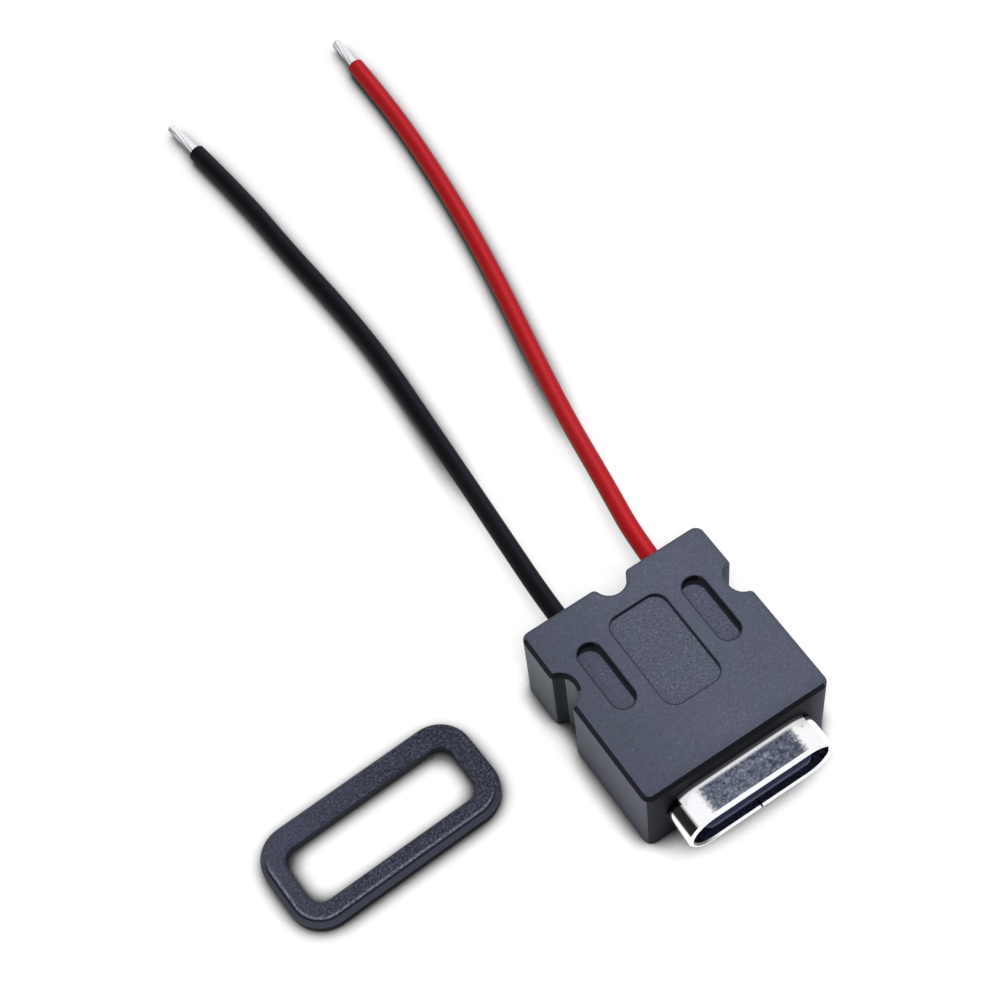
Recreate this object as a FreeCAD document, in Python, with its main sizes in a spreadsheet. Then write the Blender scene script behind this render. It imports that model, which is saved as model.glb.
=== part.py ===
import FreeCAD, Part
import math
import os
import Sketcher

# Waterproof charging socket: a metal receptacle shell with its tongue, moulded into a small
# housing, with two soldered leads at the rear and a loose seal ring beside it.
#
# Frame: X across the mouth, +Y from the mouth to the leads, +Z up. The origin is on the
# ground plane, under the centre of the housing's footprint.
# The mouth frame has its origin in the middle of the shell's front lip, at mid-height of the
# housing, so depths into the socket are its +Y.

DRIVING_SIZES = [
    ("housing_side_wall", 1.13, "moulded block beside the shell"),
    ("housing_top_wall", 1.32, "moulded block above and below the shell"),
    ("housing_rear_wall", 1.5, "moulded block behind the inner moulding"),
    ("housing_corner_radius", 0.5, "upright corners"),
    ("housing_top_bevel", 0.2, "bevel of the top outline"),
    ("notch_edge_round", 0.3, "upright edges of the notches"),
    ("side_notch_radius", 0.9, "half-round notch in each side"),
    ("side_notch_overhang", 0.1, "its axis outside the side face"),
    ("side_notch_setback", 1.8, "its axis behind the housing's middle"),
    ("rear_notch_radius", 0.92, "half-round notch in the rear face"),
    ("rear_notch_overhang", 0.05, "its axis outside the rear face"),
    ("panel_width", 3.4, "shallow panel in the top"),
    ("panel_length", 5.85, "shallow panel, front to rear"),
    ("panel_corner_radius", 0.75, "corners of the panel"),
    ("panel_depth", 0.15, "depth of the panel"),
    ("panel_setback", 0.72, "panel centre behind the housing's middle"),
    ("slot_width", 1.35, "long slot each side of the panel"),
    ("slot_length", 4.2, "long slot, end to end"),
    ("slot_depth", 0.5, "depth of the slots"),
    ("slot_spacing", 6.5, "between the slots' centre lines"),
    ("slot_setback", 1.2, "slot centre behind the housing's middle"),
    ("shell_width", 8.94, "metal shell, outside"),
    ("shell_height", 3.16, "metal shell, outside"),
    ("shell_wall", 0.3, "sheet of the shell"),
    ("shell_length", 8.0, "front lip to rear end"),
    ("shell_protrusion", 2.0, "front lip ahead of the housing"),
    ("shell_lip_bevel", 0.11, "outside of the front lip"),
    ("shell_lip_chamfer", 0.1, "lead-in inside the front lip"),
    ("seam_gap", 0.1, "butt seam in the shell's underside"),
    ("seam_lock_depth", 3.4, "depth of the seam's dovetail, to its middle"),
    ("seam_lock_neck", 0.8, "narrow width of the dovetail"),
    ("seam_lock_head", 1.4, "broad width of the dovetail"),
    ("seam_lock_reach", 0.75, "reach of the dovetail across the seam"),
    ("base_length", 1.4, "insulator base that fills the shell"),
    ("tongue_side_gap", 0.825, "between the tongue and the shell, each side"),
    ("tongue_thickness", 0.7, "insulator tongue"),
    ("tongue_setback", 0.15, "tongue tip behind the front lip"),
    ("tongue_corner_radius", 0.5, "tip corners seen from above"),
    ("tongue_edge_bevel", 0.16, "bevel of tip and side edges"),
    ("root_side_gap", 0.47, "between the thick step and the shell, each side"),
    ("root_thickness", 1.4, "thick step at the tongue's root"),
    ("root_length", 1.0, "thick step at the tongue's root"),
    ("latch_recess_depth", 0.3, "side recess for the plug's latch"),
    ("latch_recess_length", 1.0, "side recess, front to rear"),
    ("latch_recess_setback", 2.6, "tongue tip to the recess"),
    ("plate_thickness", 0.15, "steel mid plate"),
    ("plate_setback", 0.3, "plate's front edge behind the tongue tip"),
    ("plate_front_margin", 0.3, "plastic beside the plate's front part"),
    ("plate_ear_length", 0.6, "ear that fills the tongue's side ahead of the recess"),
    ("plate_rear_margin", 0.45, "plastic beside the plate behind the recess"),
    ("plate_tail_cover", 0.4, "plastic between the plate and the resin"),
    ("contact_thickness", 0.15, "contact strip"),
    ("contact_width", 0.3, "contact strip on the tongue"),
    ("contact_nose_width", 0.2, "front end of a contact"),
    ("contact_nose_length", 0.12, "taper of the front end"),
    ("contact_tail_width", 0.4, "contact tail on the board"),
    ("contact_shoulder_cover", 0.3, "base plastic ahead of the contact's shoulder"),
    ("contact_setback", 0.8, "power contacts behind the tongue tip"),
    ("signal_contact_delay", 0.5, "signal contacts start further behind"),
    ("contact_tail_length", 0.9, "tail behind the shell"),
    ("signal_contact_offset", 0.75, "from the middle"),
    ("supply_contact_offset", 1.25, "from the middle"),
    ("ground_contact_margin", 0.595, "from the tongue's side"),
    ("potting_thickness", 0.4, "sealing resin at the shell's rear end"),
    ("board_side_margin", 0.77, "board narrower than the shell, each side"),
    ("board_length", 3.1, "circuit board, front to rear"),
    ("resistor_length", 1.0, "chip resistor"),
    ("resistor_width", 0.5, "chip resistor"),
    ("resistor_height", 0.35, "chip resistor"),
    ("resistor_spacing", 1.8, "between the two resistors' centres"),
    ("resistor_rear_margin", 0.95, "resistor centre ahead of the board's rear edge"),
    ("solder_foot_radius", 0.6, "solder joint, on the board"),
    ("solder_head_radius", 0.34, "solder joint, at its top"),
    ("solder_height", 0.7, "solder joint above the board"),
    ("solder_rear_margin", 0.85, "joint centre ahead of the board's rear edge"),
    ("bundle_radius", 0.27, "seven tinned strands, centre to corner of the bundle"),
    ("bundle_lift", 0.03, "solder film under the strands"),
    ("bundle_bite", 0.35, "strands ahead of the joint's centre"),
    ("bundle_clearance", 0.02, "between strands and insulation"),
    ("tinning", 0.01, "solder film that thickens the bare ends"),
    ("wire_radius", 0.525, "outside of the insulation"),
    ("wire_strip_gap", 0.1, "board edge to the insulation's inner end"),
    ("red_wire_margin", 0.62, "red lead's axis inside the board's right edge"),
    ("black_wire_margin", 0.88, "black lead's axis inside the board's left edge"),
    ("red_tip_length", 2.35, "bare end of the red lead"),
    ("black_tip_length", 2.7, "bare end of the black lead"),
    ("inner_mould_side_cover", 0.2, "inner moulding beside the board"),
    ("inner_mould_top_cover", 0.12, "inner moulding above the line of the shell"),
    ("inner_mould_grip", 0.5, "inner moulding over the insulation's inner end"),
    ("inner_mould_bevel", 0.25, "its long edges"),
    ("ring_length", 12.7, "seal ring, outside, across"),
    ("ring_width", 6.05, "seal ring, outside, front to rear"),
    ("ring_corner_radius", 1.9, "seal ring, outer corners"),
    ("ring_opening_length", 10.3, "opening of the seal ring"),
    ("ring_opening_width", 3.5, "opening of the seal ring"),
    ("ring_opening_corner_radius", 0.8, "corners of the opening"),
    ("ring_thickness", 0.9, "seal ring"),
    ("ring_edge_bevel", 0.14, "upper and lower edges of the seal ring"),
    ("ring_offset_left", 16.22, "ring centre left of the housing's middle"),
    ("ring_offset_back", 3.12, "ring centre behind the housing's middle"),
    ("ring_turn", 2.6, "ring turned on the ground, degrees"),
]

# Free part of each lead on the ground, chosen by eye from the photo: X, Y and the height of the
# insulation's underside above the ground. The stretch inside and just behind the housing
# comes from the sizes above.
EXIT_RUN_END = 7.4
RED_ROUTE = [
    (3.95, 11.9, 2.30),
    (5.05, 17.2, 0.80),
    (6.20, 22.4, 0.09),
    (7.40, 28.0, 0.01),
    (8.35, 33.6, 0.0),
    (9.00, 39.2, 0.0),
    (9.28, 43.6, 0.0),
    (9.30, 47.1, 0.0),
]
BLACK_ROUTE = [
    (-2.45, 11.6, 2.35),
    (-1.80, 16.9, 0.88),
    (-1.35, 22.0, 0.10),
    (-1.00, 27.6, 0.01),
    (-1.12, 32.4, 0.0),
    (-1.50, 37.4, 0.0),
    (-1.66, 42.2, 0.0),
    (-2.23, 47.2, 0.0),
]
ARC_SHARE = 0.45
BUNDLE_SIDES = 6
TOUCH = 1e-4

# Sizes and places shared by several pieces, as expressions on the sheet. Depths are measured
# from the shell's front lip.
MOUTH_WIDTH = "(sizes.shell_width - 2 * sizes.shell_wall)"
MOUTH_HEIGHT = "(sizes.shell_height - 2 * sizes.shell_wall)"
BASE_END = "(sizes.shell_length - sizes.potting_thickness)"
TONGUE_WIDTH = "(" + MOUTH_WIDTH + " - 2 * sizes.tongue_side_gap)"
ROOT_WIDTH = "(" + MOUTH_WIDTH + " - 2 * sizes.root_side_gap)"
GROUND_OFFSET = "(" + TONGUE_WIDTH + " / 2 - sizes.ground_contact_margin)"
BOARD_WIDTH = "(sizes.shell_width - 2 * sizes.board_side_margin)"
RED_WIRE_OFFSET = "(" + BOARD_WIDTH + " / 2 - sizes.red_wire_margin)"
BLACK_WIRE_OFFSET = "(" + BOARD_WIDTH + " / 2 - sizes.black_wire_margin)"
MOUTH_DEPTH = "(" + BASE_END + " - sizes.base_length)"
RECESS_START = "(sizes.tongue_setback + sizes.latch_recess_setback)"
BOARD_THICKNESS = "(sizes.tongue_thickness - 2 * sizes.contact_thickness)"
BOARD_END = "(sizes.shell_length + sizes.board_length)"
JOINT_DEPTH = "(" + BOARD_END + " - sizes.solder_rear_margin)"
STRIP_END = "(" + BOARD_END + " + sizes.wire_strip_gap)"
INNER_MOULD_END = "(" + STRIP_END + " + sizes.inner_mould_grip)"
INNER_MOULD_WIDTH = "(" + BOARD_WIDTH + " + 2 * sizes.inner_mould_side_cover)"
INNER_MOULD_HEIGHT = "(sizes.shell_height + 2 * sizes.inner_mould_top_cover)"
WIRE_LIFT = "(" + BOARD_THICKNESS + " / 2 + sizes.bundle_lift + sizes.bundle_radius)"
HOUSING_WIDTH = "(sizes.shell_width + 2 * sizes.housing_side_wall)"
HOUSING_HEIGHT = "(sizes.shell_height + 2 * sizes.housing_top_wall)"
HOUSING_LENGTH = "(" + INNER_MOULD_END + " + sizes.housing_rear_wall - sizes.shell_protrusion)"
LIP_Y = "(-" + HOUSING_LENGTH + " / 2 - sizes.shell_protrusion)"
MIDDLE_Z = "(" + HOUSING_HEIGHT + " / 2)"


def make_sheet(doc):
    """Spreadsheet with one row per driving size: its name, its value in mm and what it is."""
    sheet = doc.addObject("Spreadsheet::Sheet", "sizes")
    for row, (alias, value, meaning) in enumerate(DRIVING_SIZES, start=1):
        sheet.set("A%d" % row, alias)
        sheet.set("B%d" % row, str(value))
        sheet.set("C%d" % row, meaning)
        sheet.setAlias("B%d" % row, alias)
    doc.recompute()
    return sheet


def value(doc, expression):
    """Number that an expression on the sheet gives."""
    return float(doc.sizes.evalExpression(expression.replace("sizes.", "")))


def bind(item, settings):
    """Tie properties of an object to expressions on the sheet."""
    for name, expression in settings.items():
        item.setExpression(name, expression)


def new_body(doc, label, in_mouth_frame=True):
    """Empty body, placed in the mouth frame or left in the part's frame."""
    body = doc.addObject("PartDesign::Body", label)
    body.Label = label
    if in_mouth_frame:
        bind(body, {"Placement.Base.y": LIP_Y, "Placement.Base.z": MIDDLE_Z})
    return body


def new_sketch(body, name, plane_role, offset="0"):
    """Sketch on one of the body's own origin planes, moved along the plane's normal."""
    sketch = body.newObject("Sketcher::SketchObject", name)
    plane = [item for item in body.Origin.OriginFeatures if item.Role == plane_role][0]
    sketch.AttachmentSupport = [(plane, "")]
    sketch.MapMode = "FlatFace"
    bind(sketch, {"AttachmentOffset.Base.z": offset})
    return sketch


def drive(sketch, constraint, expression):
    """Add a dimension to a sketch and tie it to an expression."""
    index = sketch.addConstraint(constraint)
    sketch.setExpression("Constraints[%d]" % index, expression)


def pin_point(sketch, curve, vertex, x, y):
    """Hold one point of a sketch at the place given by two expressions."""
    doc = sketch.Document
    across = Sketcher.Constraint("DistanceX", -1, 1, curve, vertex, value(doc, x))
    drive(sketch, across, x)
    along = Sketcher.Constraint("DistanceY", -1, 1, curve, vertex, value(doc, y))
    drive(sketch, along, y)


def draw_polygon(sketch, points, closed=True):
    """Straight outline through points that are pairs of expressions."""
    doc = sketch.Document
    corners = [FreeCAD.Vector(value(doc, x), value(doc, y), 0) for x, y in points]
    first = len(sketch.Geometry)
    count = len(points) if closed else len(points) - 1
    for index in range(count):
        start = corners[index]
        end = corners[(index + 1) % len(corners)]
        sketch.addGeometry(Part.LineSegment(start, end), False)
    for index in range(count - 1):
        sketch.addConstraint(Sketcher.Constraint("Coincident", first + index, 2, first + index + 1, 1))
    if closed:
        sketch.addConstraint(Sketcher.Constraint("Coincident", first + count - 1, 2, first, 1))
    for index, (x, y) in enumerate(points[:count]):
        pin_point(sketch, first + index, 1, x, y)
    if not closed:
        pin_point(sketch, first + count - 1, 2, *points[-1])


def draw_rectangle(sketch, width, length, middle=("0", "0")):
    """Rectangle of the given width and length about a middle point."""
    left = "%s - (%s) / 2" % (middle[0], width)
    right = "%s + (%s) / 2" % (middle[0], width)
    low = "%s - (%s) / 2" % (middle[1], length)
    high = "%s + (%s) / 2" % (middle[1], length)
    draw_polygon(sketch, [(left, low), (right, low), (right, high), (left, high)])


def quarter_arc(centre, radius, quarter):
    """Arc of one quarter turn, the first from +X to +Y."""
    circle = Part.Circle(centre, FreeCAD.Vector(0, 0, 1), radius)
    start = quarter * math.pi / 2
    return Part.ArcOfCircle(circle, start, start + math.pi / 2)


def draw_rounded_rectangle(sketch, width, length, radius, middle=("0", "0")):
    """Rectangle with round corners about a middle point: four arcs joined by four lines."""
    doc = sketch.Document
    mid_x = value(doc, middle[0])
    mid_y = value(doc, middle[1])
    arc_radius = value(doc, radius)
    reach_x = value(doc, width) / 2 - arc_radius
    reach_y = value(doc, length) / 2 - arc_radius
    signs = [(1, 1), (-1, 1), (-1, -1), (1, -1)]
    first = len(sketch.Geometry)
    for quarter, (sign_x, sign_y) in enumerate(signs):
        centre = FreeCAD.Vector(mid_x + sign_x * reach_x, mid_y + sign_y * reach_y, 0)
        sketch.addGeometry(quarter_arc(centre, arc_radius, quarter), False)
    for quarter in range(4):
        arc_end = sketch.getPoint(first + quarter, 2)
        next_start = sketch.getPoint(first + (quarter + 1) % 4, 1)
        sketch.addGeometry(Part.LineSegment(arc_end, next_start), False)
        line = first + 4 + quarter
        sketch.addConstraint(Sketcher.Constraint("Tangent", first + quarter, 2, line, 1))
        sketch.addConstraint(Sketcher.Constraint("Tangent", line, 2, first + (quarter + 1) % 4, 1))
        direction = "Horizontal" if quarter % 2 == 0 else "Vertical"
        sketch.addConstraint(Sketcher.Constraint(direction, line))
    for quarter in range(1, 4):
        sketch.addConstraint(Sketcher.Constraint("Equal", first, first + quarter))
    drive(sketch, Sketcher.Constraint("Radius", first, arc_radius), radius)
    far_x = "%s + (%s) / 2 - %s" % (middle[0], width, radius)
    far_y = "%s + (%s) / 2 - %s" % (middle[1], length, radius)
    near_x = "%s - (%s) / 2 + %s" % (middle[0], width, radius)
    near_y = "%s - (%s) / 2 + %s" % (middle[1], length, radius)
    pin_point(sketch, first, 3, far_x, far_y)
    pin_point(sketch, first + 2, 3, near_x, near_y)


def draw_stadium(sketch, length, breadth, middle=("0", "0"), upright=False):
    """Outline with full-round ends, lying along the sketch's X, or along its Y if upright."""
    doc = sketch.Document
    radius = value(doc, breadth) / 2
    reach = value(doc, length) / 2 - radius
    centre = FreeCAD.Vector(value(doc, middle[0]), value(doc, middle[1]), 0)
    along = FreeCAD.Vector(0, 1, 0) if upright else FreeCAD.Vector(1, 0, 0)
    turn = math.pi / 2 if upright else 0.0
    first = len(sketch.Geometry)
    for side, start in ((1, turn - math.pi / 2), (-1, turn + math.pi / 2)):
        circle = Part.Circle(centre + along * (side * reach), FreeCAD.Vector(0, 0, 1), radius)
        sketch.addGeometry(Part.ArcOfCircle(circle, start, start + math.pi), False)
    for near, far in ((0, 1), (1, 0)):
        start = sketch.getPoint(first + near, 2)
        end = sketch.getPoint(first + far, 1)
        sketch.addGeometry(Part.LineSegment(start, end), False)
        line = first + 2 + near
        sketch.addConstraint(Sketcher.Constraint("Tangent", first + near, 2, line, 1))
        sketch.addConstraint(Sketcher.Constraint("Tangent", line, 2, first + far, 1))
    sketch.addConstraint(Sketcher.Constraint("Equal", first, first + 1))
    drive(sketch, Sketcher.Constraint("Radius", first, radius), "(%s) / 2" % breadth)
    reach_text = "((%s) - (%s)) / 2" % (length, breadth)
    for index, sign in ((first, "+"), (first + 1, "-")):
        if upright:
            pin_point(sketch, index, 3, middle[0], "%s %s %s" % (middle[1], sign, reach_text))
        else:
            pin_point(sketch, index, 3, "%s %s %s" % (middle[0], sign, reach_text), middle[1])


def draw_circle(sketch, radius, middle):
    """Circle about a middle point."""
    doc = sketch.Document
    centre = FreeCAD.Vector(value(doc, middle[0]), value(doc, middle[1]), 0)
    circle = Part.Circle(centre, FreeCAD.Vector(0, 0, 1), value(doc, radius))
    index = sketch.addGeometry(circle, False)
    drive(sketch, Sketcher.Constraint("Radius", index, value(doc, radius)), radius)
    pin_point(sketch, index, 3, *middle)


def pad(body, sketch, length, name, backwards=False, midplane=False):
    """Pad a sketch; backwards runs against the sketch plane's normal."""
    feature = body.newObject("PartDesign::Pad", name)
    feature.Profile = sketch
    feature.Reversed = backwards
    feature.Midplane = midplane
    bind(feature, {"Length": length})
    body.Document.recompute()
    return feature


def pocket(body, sketch, name, depth=None, backwards=False, both_ways=False):
    """Cut a sketch into the body, to a depth or right through."""
    before = body.Shape.Volume
    feature = body.newObject("PartDesign::Pocket", name)
    feature.Profile = sketch
    feature.Reversed = backwards
    feature.Midplane = both_ways
    if depth is None:
        feature.Type = "ThroughAll"
    else:
        bind(feature, {"Length": depth})
    body.Document.recompute()
    if body.Shape.Volume > before - TOUCH:
        raise RuntimeError("%s cuts nothing" % name)
    return feature


def edge_names(shape, wanted):
    """Names of those edges of a shape that the test picks."""
    return ["Edge%d" % number for number, edge in enumerate(shape.Edges, start=1) if wanted(edge)]


def round_edges(body, name, radius, wanted, kind="PartDesign::Fillet"):
    """Fillet or chamfer the edges of the body's last feature that the test picks."""
    base = body.Tip
    names = edge_names(base.Shape, wanted)
    if not names:
        raise RuntimeError("%s finds no edge" % name)
    feature = body.newObject(kind, name)
    feature.Base = (base, names)
    size_name = "Radius" if kind == "PartDesign::Fillet" else "Size"
    bind(feature, {size_name: radius})
    body.Document.recompute()
    return feature


def is_upright(edge):
    """True for an edge that runs along Z."""
    ends = edge.Vertexes
    if len(ends) != 2:
        return False
    shift = ends[0].Point - ends[1].Point
    return math.hypot(shift.x, shift.y) < TOUCH and abs(shift.z) > TOUCH


def lies_at(edge, axis, place):
    """True if the whole edge lies at one coordinate, axis 0 being X, 1 Y and 2 Z."""
    points = [vertex.Point for vertex in edge.Vertexes]
    points.append(edge.CenterOfMass)
    return all(abs(point[axis] - place) < TOUCH for point in points)


def fused(doc, name, pieces):
    """Union that serves as a cutting tool; it is no piece itself."""
    union = doc.addObject("Part::MultiFuse", name)
    union.Shapes = pieces
    return union


def cut_from(doc, label, base, tool):
    """A piece left when a tool is cut from a blank."""
    result = doc.addObject("Part::Cut", label)
    result.Label = label
    result.Base = base
    result.Tool = tool
    doc.recompute()
    return result


def rim_at(height):
    """Test for front edges of a tube: their ends lie at this height above or below the axis."""
    def wanted(edge):
        ends = [abs(abs(vertex.Z) - height) < TOUCH for vertex in edge.Vertexes]
        return lies_at(edge, 1, 0.0) and all(ends)
    return wanted


def make_seam(doc):
    """Cutting tool for the shell's butt seam, with a dovetail lock at half its length."""
    body = new_body(doc, "seam_line_holder")
    line = new_sketch(body, "seam_line", "XY_Plane")
    neck = "sizes.seam_lock_neck / 2"
    head = "sizes.seam_lock_head / 2"
    points = [
        ("0", "-sizes.shell_wall"),
        ("0", "sizes.seam_lock_depth - " + neck),
        ("sizes.seam_lock_reach", "sizes.seam_lock_depth - " + head),
        ("sizes.seam_lock_reach", "sizes.seam_lock_depth + " + head),
        ("0", "sizes.seam_lock_depth + " + neck),
        ("0", "sizes.shell_length + sizes.shell_wall"),
    ]
    draw_polygon(line, points, closed=False)
    outline = doc.addObject("Part::Offset2D", "seam_outline")
    outline.Source = line
    outline.Mode = "Pipe"
    outline.Join = "Intersection"
    bind(outline, {"Value": "sizes.seam_gap / 2"})
    slit = doc.addObject("Part::Extrusion", "seam_slit")
    slit.Base = outline
    slit.Dir = FreeCAD.Vector(0, 0, -1)
    slit.Solid = True
    bind(slit, {"LengthFwd": "sizes.shell_height"})
    doc.recompute()
    return slit


def make_shell(doc):
    """Folded metal tube with bevelled lip, butt seam and dovetail lock in its underside."""
    body = new_body(doc, "shell_tube")
    outline = new_sketch(body, "shell_section", "XZ_Plane")
    draw_stadium(outline, "sizes.shell_width", "sizes.shell_height")
    draw_stadium(outline, MOUTH_WIDTH, MOUTH_HEIGHT)
    pad(body, outline, "sizes.shell_length", "shell_pad", backwards=True)
    outer_rim = rim_at(value(doc, "sizes.shell_height / 2"))
    inner_rim = rim_at(value(doc, MOUTH_HEIGHT + " / 2"))
    round_edges(body, "shell_lip", "sizes.shell_lip_bevel", outer_rim, "PartDesign::Chamfer")
    round_edges(body, "shell_lead_in", "sizes.shell_lip_chamfer", inner_rim, "PartDesign::Chamfer")
    return cut_from(doc, "shell", body, make_seam(doc))


def make_shell_space(doc):
    """Filled outline of the shell, for the housing's own opening."""
    body = new_body(doc, "shell_space")
    outline = new_sketch(body, "shell_space_section", "XZ_Plane")
    draw_stadium(outline, "sizes.shell_width", "sizes.shell_height")
    pad(body, outline, "sizes.shell_length", "shell_space_pad", backwards=True)
    return body


def make_mid_plate(doc):
    """Steel plate in the tongue's middle, with an ear each side ahead of the latch recess."""
    body = new_body(doc, "mid_plate")
    outline = new_sketch(body, "plate_outline", "XY_Plane", "-sizes.plate_thickness / 2")
    front_half = "(%s / 2 - sizes.plate_front_margin)" % TONGUE_WIDTH
    ear_half = "(%s / 2)" % TONGUE_WIDTH
    recess_half = "(%s / 2 - sizes.latch_recess_depth)" % TONGUE_WIDTH
    rear_half = "(%s / 2 - sizes.plate_rear_margin)" % TONGUE_WIDTH
    recess_end = RECESS_START + " + sizes.latch_recess_length"
    half_widths = [
        (front_half, "sizes.tongue_setback + sizes.plate_setback"),
        (front_half, RECESS_START + " - sizes.plate_ear_length"),
        (ear_half, RECESS_START + " - sizes.plate_ear_length"),
        (ear_half, RECESS_START),
        (recess_half, RECESS_START),
        (recess_half, recess_end),
        (rear_half, recess_end),
        (rear_half, BASE_END + " - sizes.plate_tail_cover"),
    ]
    left = [("-" + half, depth) for half, depth in reversed(half_widths)]
    draw_polygon(outline, half_widths + left)
    pad(body, outline, "sizes.plate_thickness", "plate_pad")
    return body


def make_contact(doc, label, offset, side, delay="0"):
    """Flat contact strip from the tongue to its tail on the board.

    The offset is an expression for its X in the mouth frame. Side is 1 for the upper row, where
    the strip lies flush with the tongue's top, or -1 for the lower row. A delay starts it
    further behind the tongue's tip.
    """
    body = new_body(doc, label)
    lower_face = "sizes.tongue_thickness / 2 - sizes.contact_thickness"
    if side < 0:
        lower_face = "-sizes.tongue_thickness / 2"
    outline = new_sketch(body, label + "_outline", "XY_Plane", lower_face)
    start = "sizes.tongue_setback + sizes.contact_setback + " + delay
    shoulder = MOUTH_DEPTH + " + sizes.contact_shoulder_cover"
    half_widths = [
        ("sizes.contact_nose_width / 2", start),
        ("sizes.contact_width / 2", start + " + sizes.contact_nose_length"),
        ("sizes.contact_width / 2", shoulder),
        ("sizes.contact_tail_width / 2", shoulder),
        ("sizes.contact_tail_width / 2", "sizes.shell_length + sizes.contact_tail_length"),
    ]
    right = [("%s + %s" % (offset, half), depth) for half, depth in half_widths]
    left = [("%s - %s" % (offset, half), depth) for half, depth in reversed(half_widths)]
    draw_polygon(outline, right + left)
    pad(body, outline, "sizes.contact_thickness", label + "_pad")
    return body


def make_contacts(doc):
    """Six power contacts: three in each row, the lower row turned half round."""
    contacts = []
    for row, side in (("upper", 1), ("lower", -1)):
        sign = "" if side > 0 else "-"
        other = "-" if side > 0 else ""
        places = [
            ("ground", sign + GROUND_OFFSET, "0"),
            ("supply", sign + "sizes.supply_contact_offset", "0"),
            ("cc", other + "sizes.signal_contact_offset", "sizes.signal_contact_delay"),
        ]
        for kind, offset, delay in places:
            contacts.append(make_contact(doc, "contact_%s_%s" % (kind, row), offset, side, delay))
    return contacts


def make_tongue(doc, inlays):
    """Insulator: tongue with latch recesses, thick root step and base that fills the shell."""
    body = new_body(doc, "tongue_blank")
    half_thickness = value(doc, "sizes.tongue_thickness / 2")
    blade = new_sketch(body, "blade_outline", "XY_Plane")
    blade_length = MOUTH_DEPTH + " - sizes.tongue_setback"
    blade_middle = ("0", "(" + MOUTH_DEPTH + " + sizes.tongue_setback) / 2")
    draw_rectangle(blade, TONGUE_WIDTH, blade_length, blade_middle)
    pad(body, blade, "sizes.tongue_thickness", "blade_pad", midplane=True)
    tip_depth = value(doc, "sizes.tongue_setback")

    def tip_corner(edge):
        return is_upright(edge) and abs(edge.Vertexes[0].Y - tip_depth) < TOUCH

    round_edges(body, "tip_corners", "sizes.tongue_corner_radius", tip_corner)
    root = new_sketch(body, "root_section", "XZ_Plane", "sizes.root_length - " + MOUTH_DEPTH)
    draw_rectangle(root, ROOT_WIDTH, "sizes.root_thickness")
    pad(body, root, "sizes.root_length", "root_pad", backwards=True)
    base = new_sketch(body, "base_section", "XZ_Plane", "-" + MOUTH_DEPTH)
    draw_stadium(base, MOUTH_WIDTH, MOUTH_HEIGHT)
    pad(body, base, "sizes.base_length", "base_pad", backwards=True)
    root_depth = value(doc, MOUTH_DEPTH + " - sizes.root_length")

    def blade_rim(edge):
        height = half_thickness if edge.CenterOfMass.z > 0 else -half_thickness
        ahead = edge.CenterOfMass.y < root_depth - TOUCH
        return ahead and not is_upright(edge) and lies_at(edge, 2, height)

    round_edges(body, "blade_bevel", "sizes.tongue_edge_bevel", blade_rim, "PartDesign::Chamfer")
    recess = new_sketch(body, "latch_recesses", "XY_Plane")
    for side in ("-", ""):
        middle_x = side + TONGUE_WIDTH + " / 2"
        middle_y = RECESS_START + " + sizes.latch_recess_length / 2"
        size_x = "2 * sizes.latch_recess_depth"
        draw_rectangle(recess, size_x, "sizes.latch_recess_length", (middle_x, middle_y))
    pocket(body, recess, "latch_recess_cut", both_ways=True)
    return cut_from(doc, "tongue_block", body, fused(doc, "tongue_inlays", inlays))


def make_potting(doc, contacts):
    """Sealing resin that closes the shell behind the insulator, round the six tails."""
    body = new_body(doc, "potting_blank")
    outline = new_sketch(body, "potting_section", "XZ_Plane", "-" + BASE_END)
    draw_stadium(outline, MOUTH_WIDTH, MOUTH_HEIGHT)
    pad(body, outline, "sizes.potting_thickness", "potting_pad", backwards=True)
    return cut_from(doc, "potting", body, fused(doc, "potting_tails", contacts))


def make_board(doc):
    """Circuit board between the two rows of contact tails."""
    body = new_body(doc, "circuit_board")
    outline = new_sketch(body, "board_outline", "XY_Plane", "-" + BOARD_THICKNESS + " / 2")
    middle = ("0", "sizes.shell_length + sizes.board_length / 2")
    draw_rectangle(outline, BOARD_WIDTH, "sizes.board_length", middle)
    pad(body, outline, BOARD_THICKNESS, "board_pad")
    return body


def make_resistor(doc, label, sign):
    """Chip resistor on the board's top."""
    body = new_body(doc, label)
    outline = new_sketch(body, label + "_outline", "XY_Plane", BOARD_THICKNESS + " / 2")
    middle = (sign + "sizes.resistor_spacing / 2", BOARD_END + " - sizes.resistor_rear_margin")
    draw_rectangle(outline, "sizes.resistor_width", "sizes.resistor_length", middle)
    pad(body, outline, "sizes.resistor_height", label + "_pad")
    return body


def make_rod(doc, name, radius, wire_x, start, end, kind="Part::Cylinder"):
    """Straight rod along a lead's axis, from one depth to another, as a cutting tool."""
    rod = doc.addObject(kind, name)
    rod.Placement = FreeCAD.Placement(FreeCAD.Vector(), FreeCAD.Rotation(FreeCAD.Vector(1, 0, 0), -90))
    if kind == "Part::Prism":
        rod.Polygon = BUNDLE_SIDES
    places = {
        "Radius" if kind == "Part::Cylinder" else "Circumradius": radius,
        "Height": "(%s) - (%s)" % (end, start),
        "Placement.Base.x": wire_x,
        "Placement.Base.y": "%s + %s" % (LIP_Y, start),
        "Placement.Base.z": "%s + %s" % (MIDDLE_Z, WIRE_LIFT),
    }
    bind(rod, places)
    return rod


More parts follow.
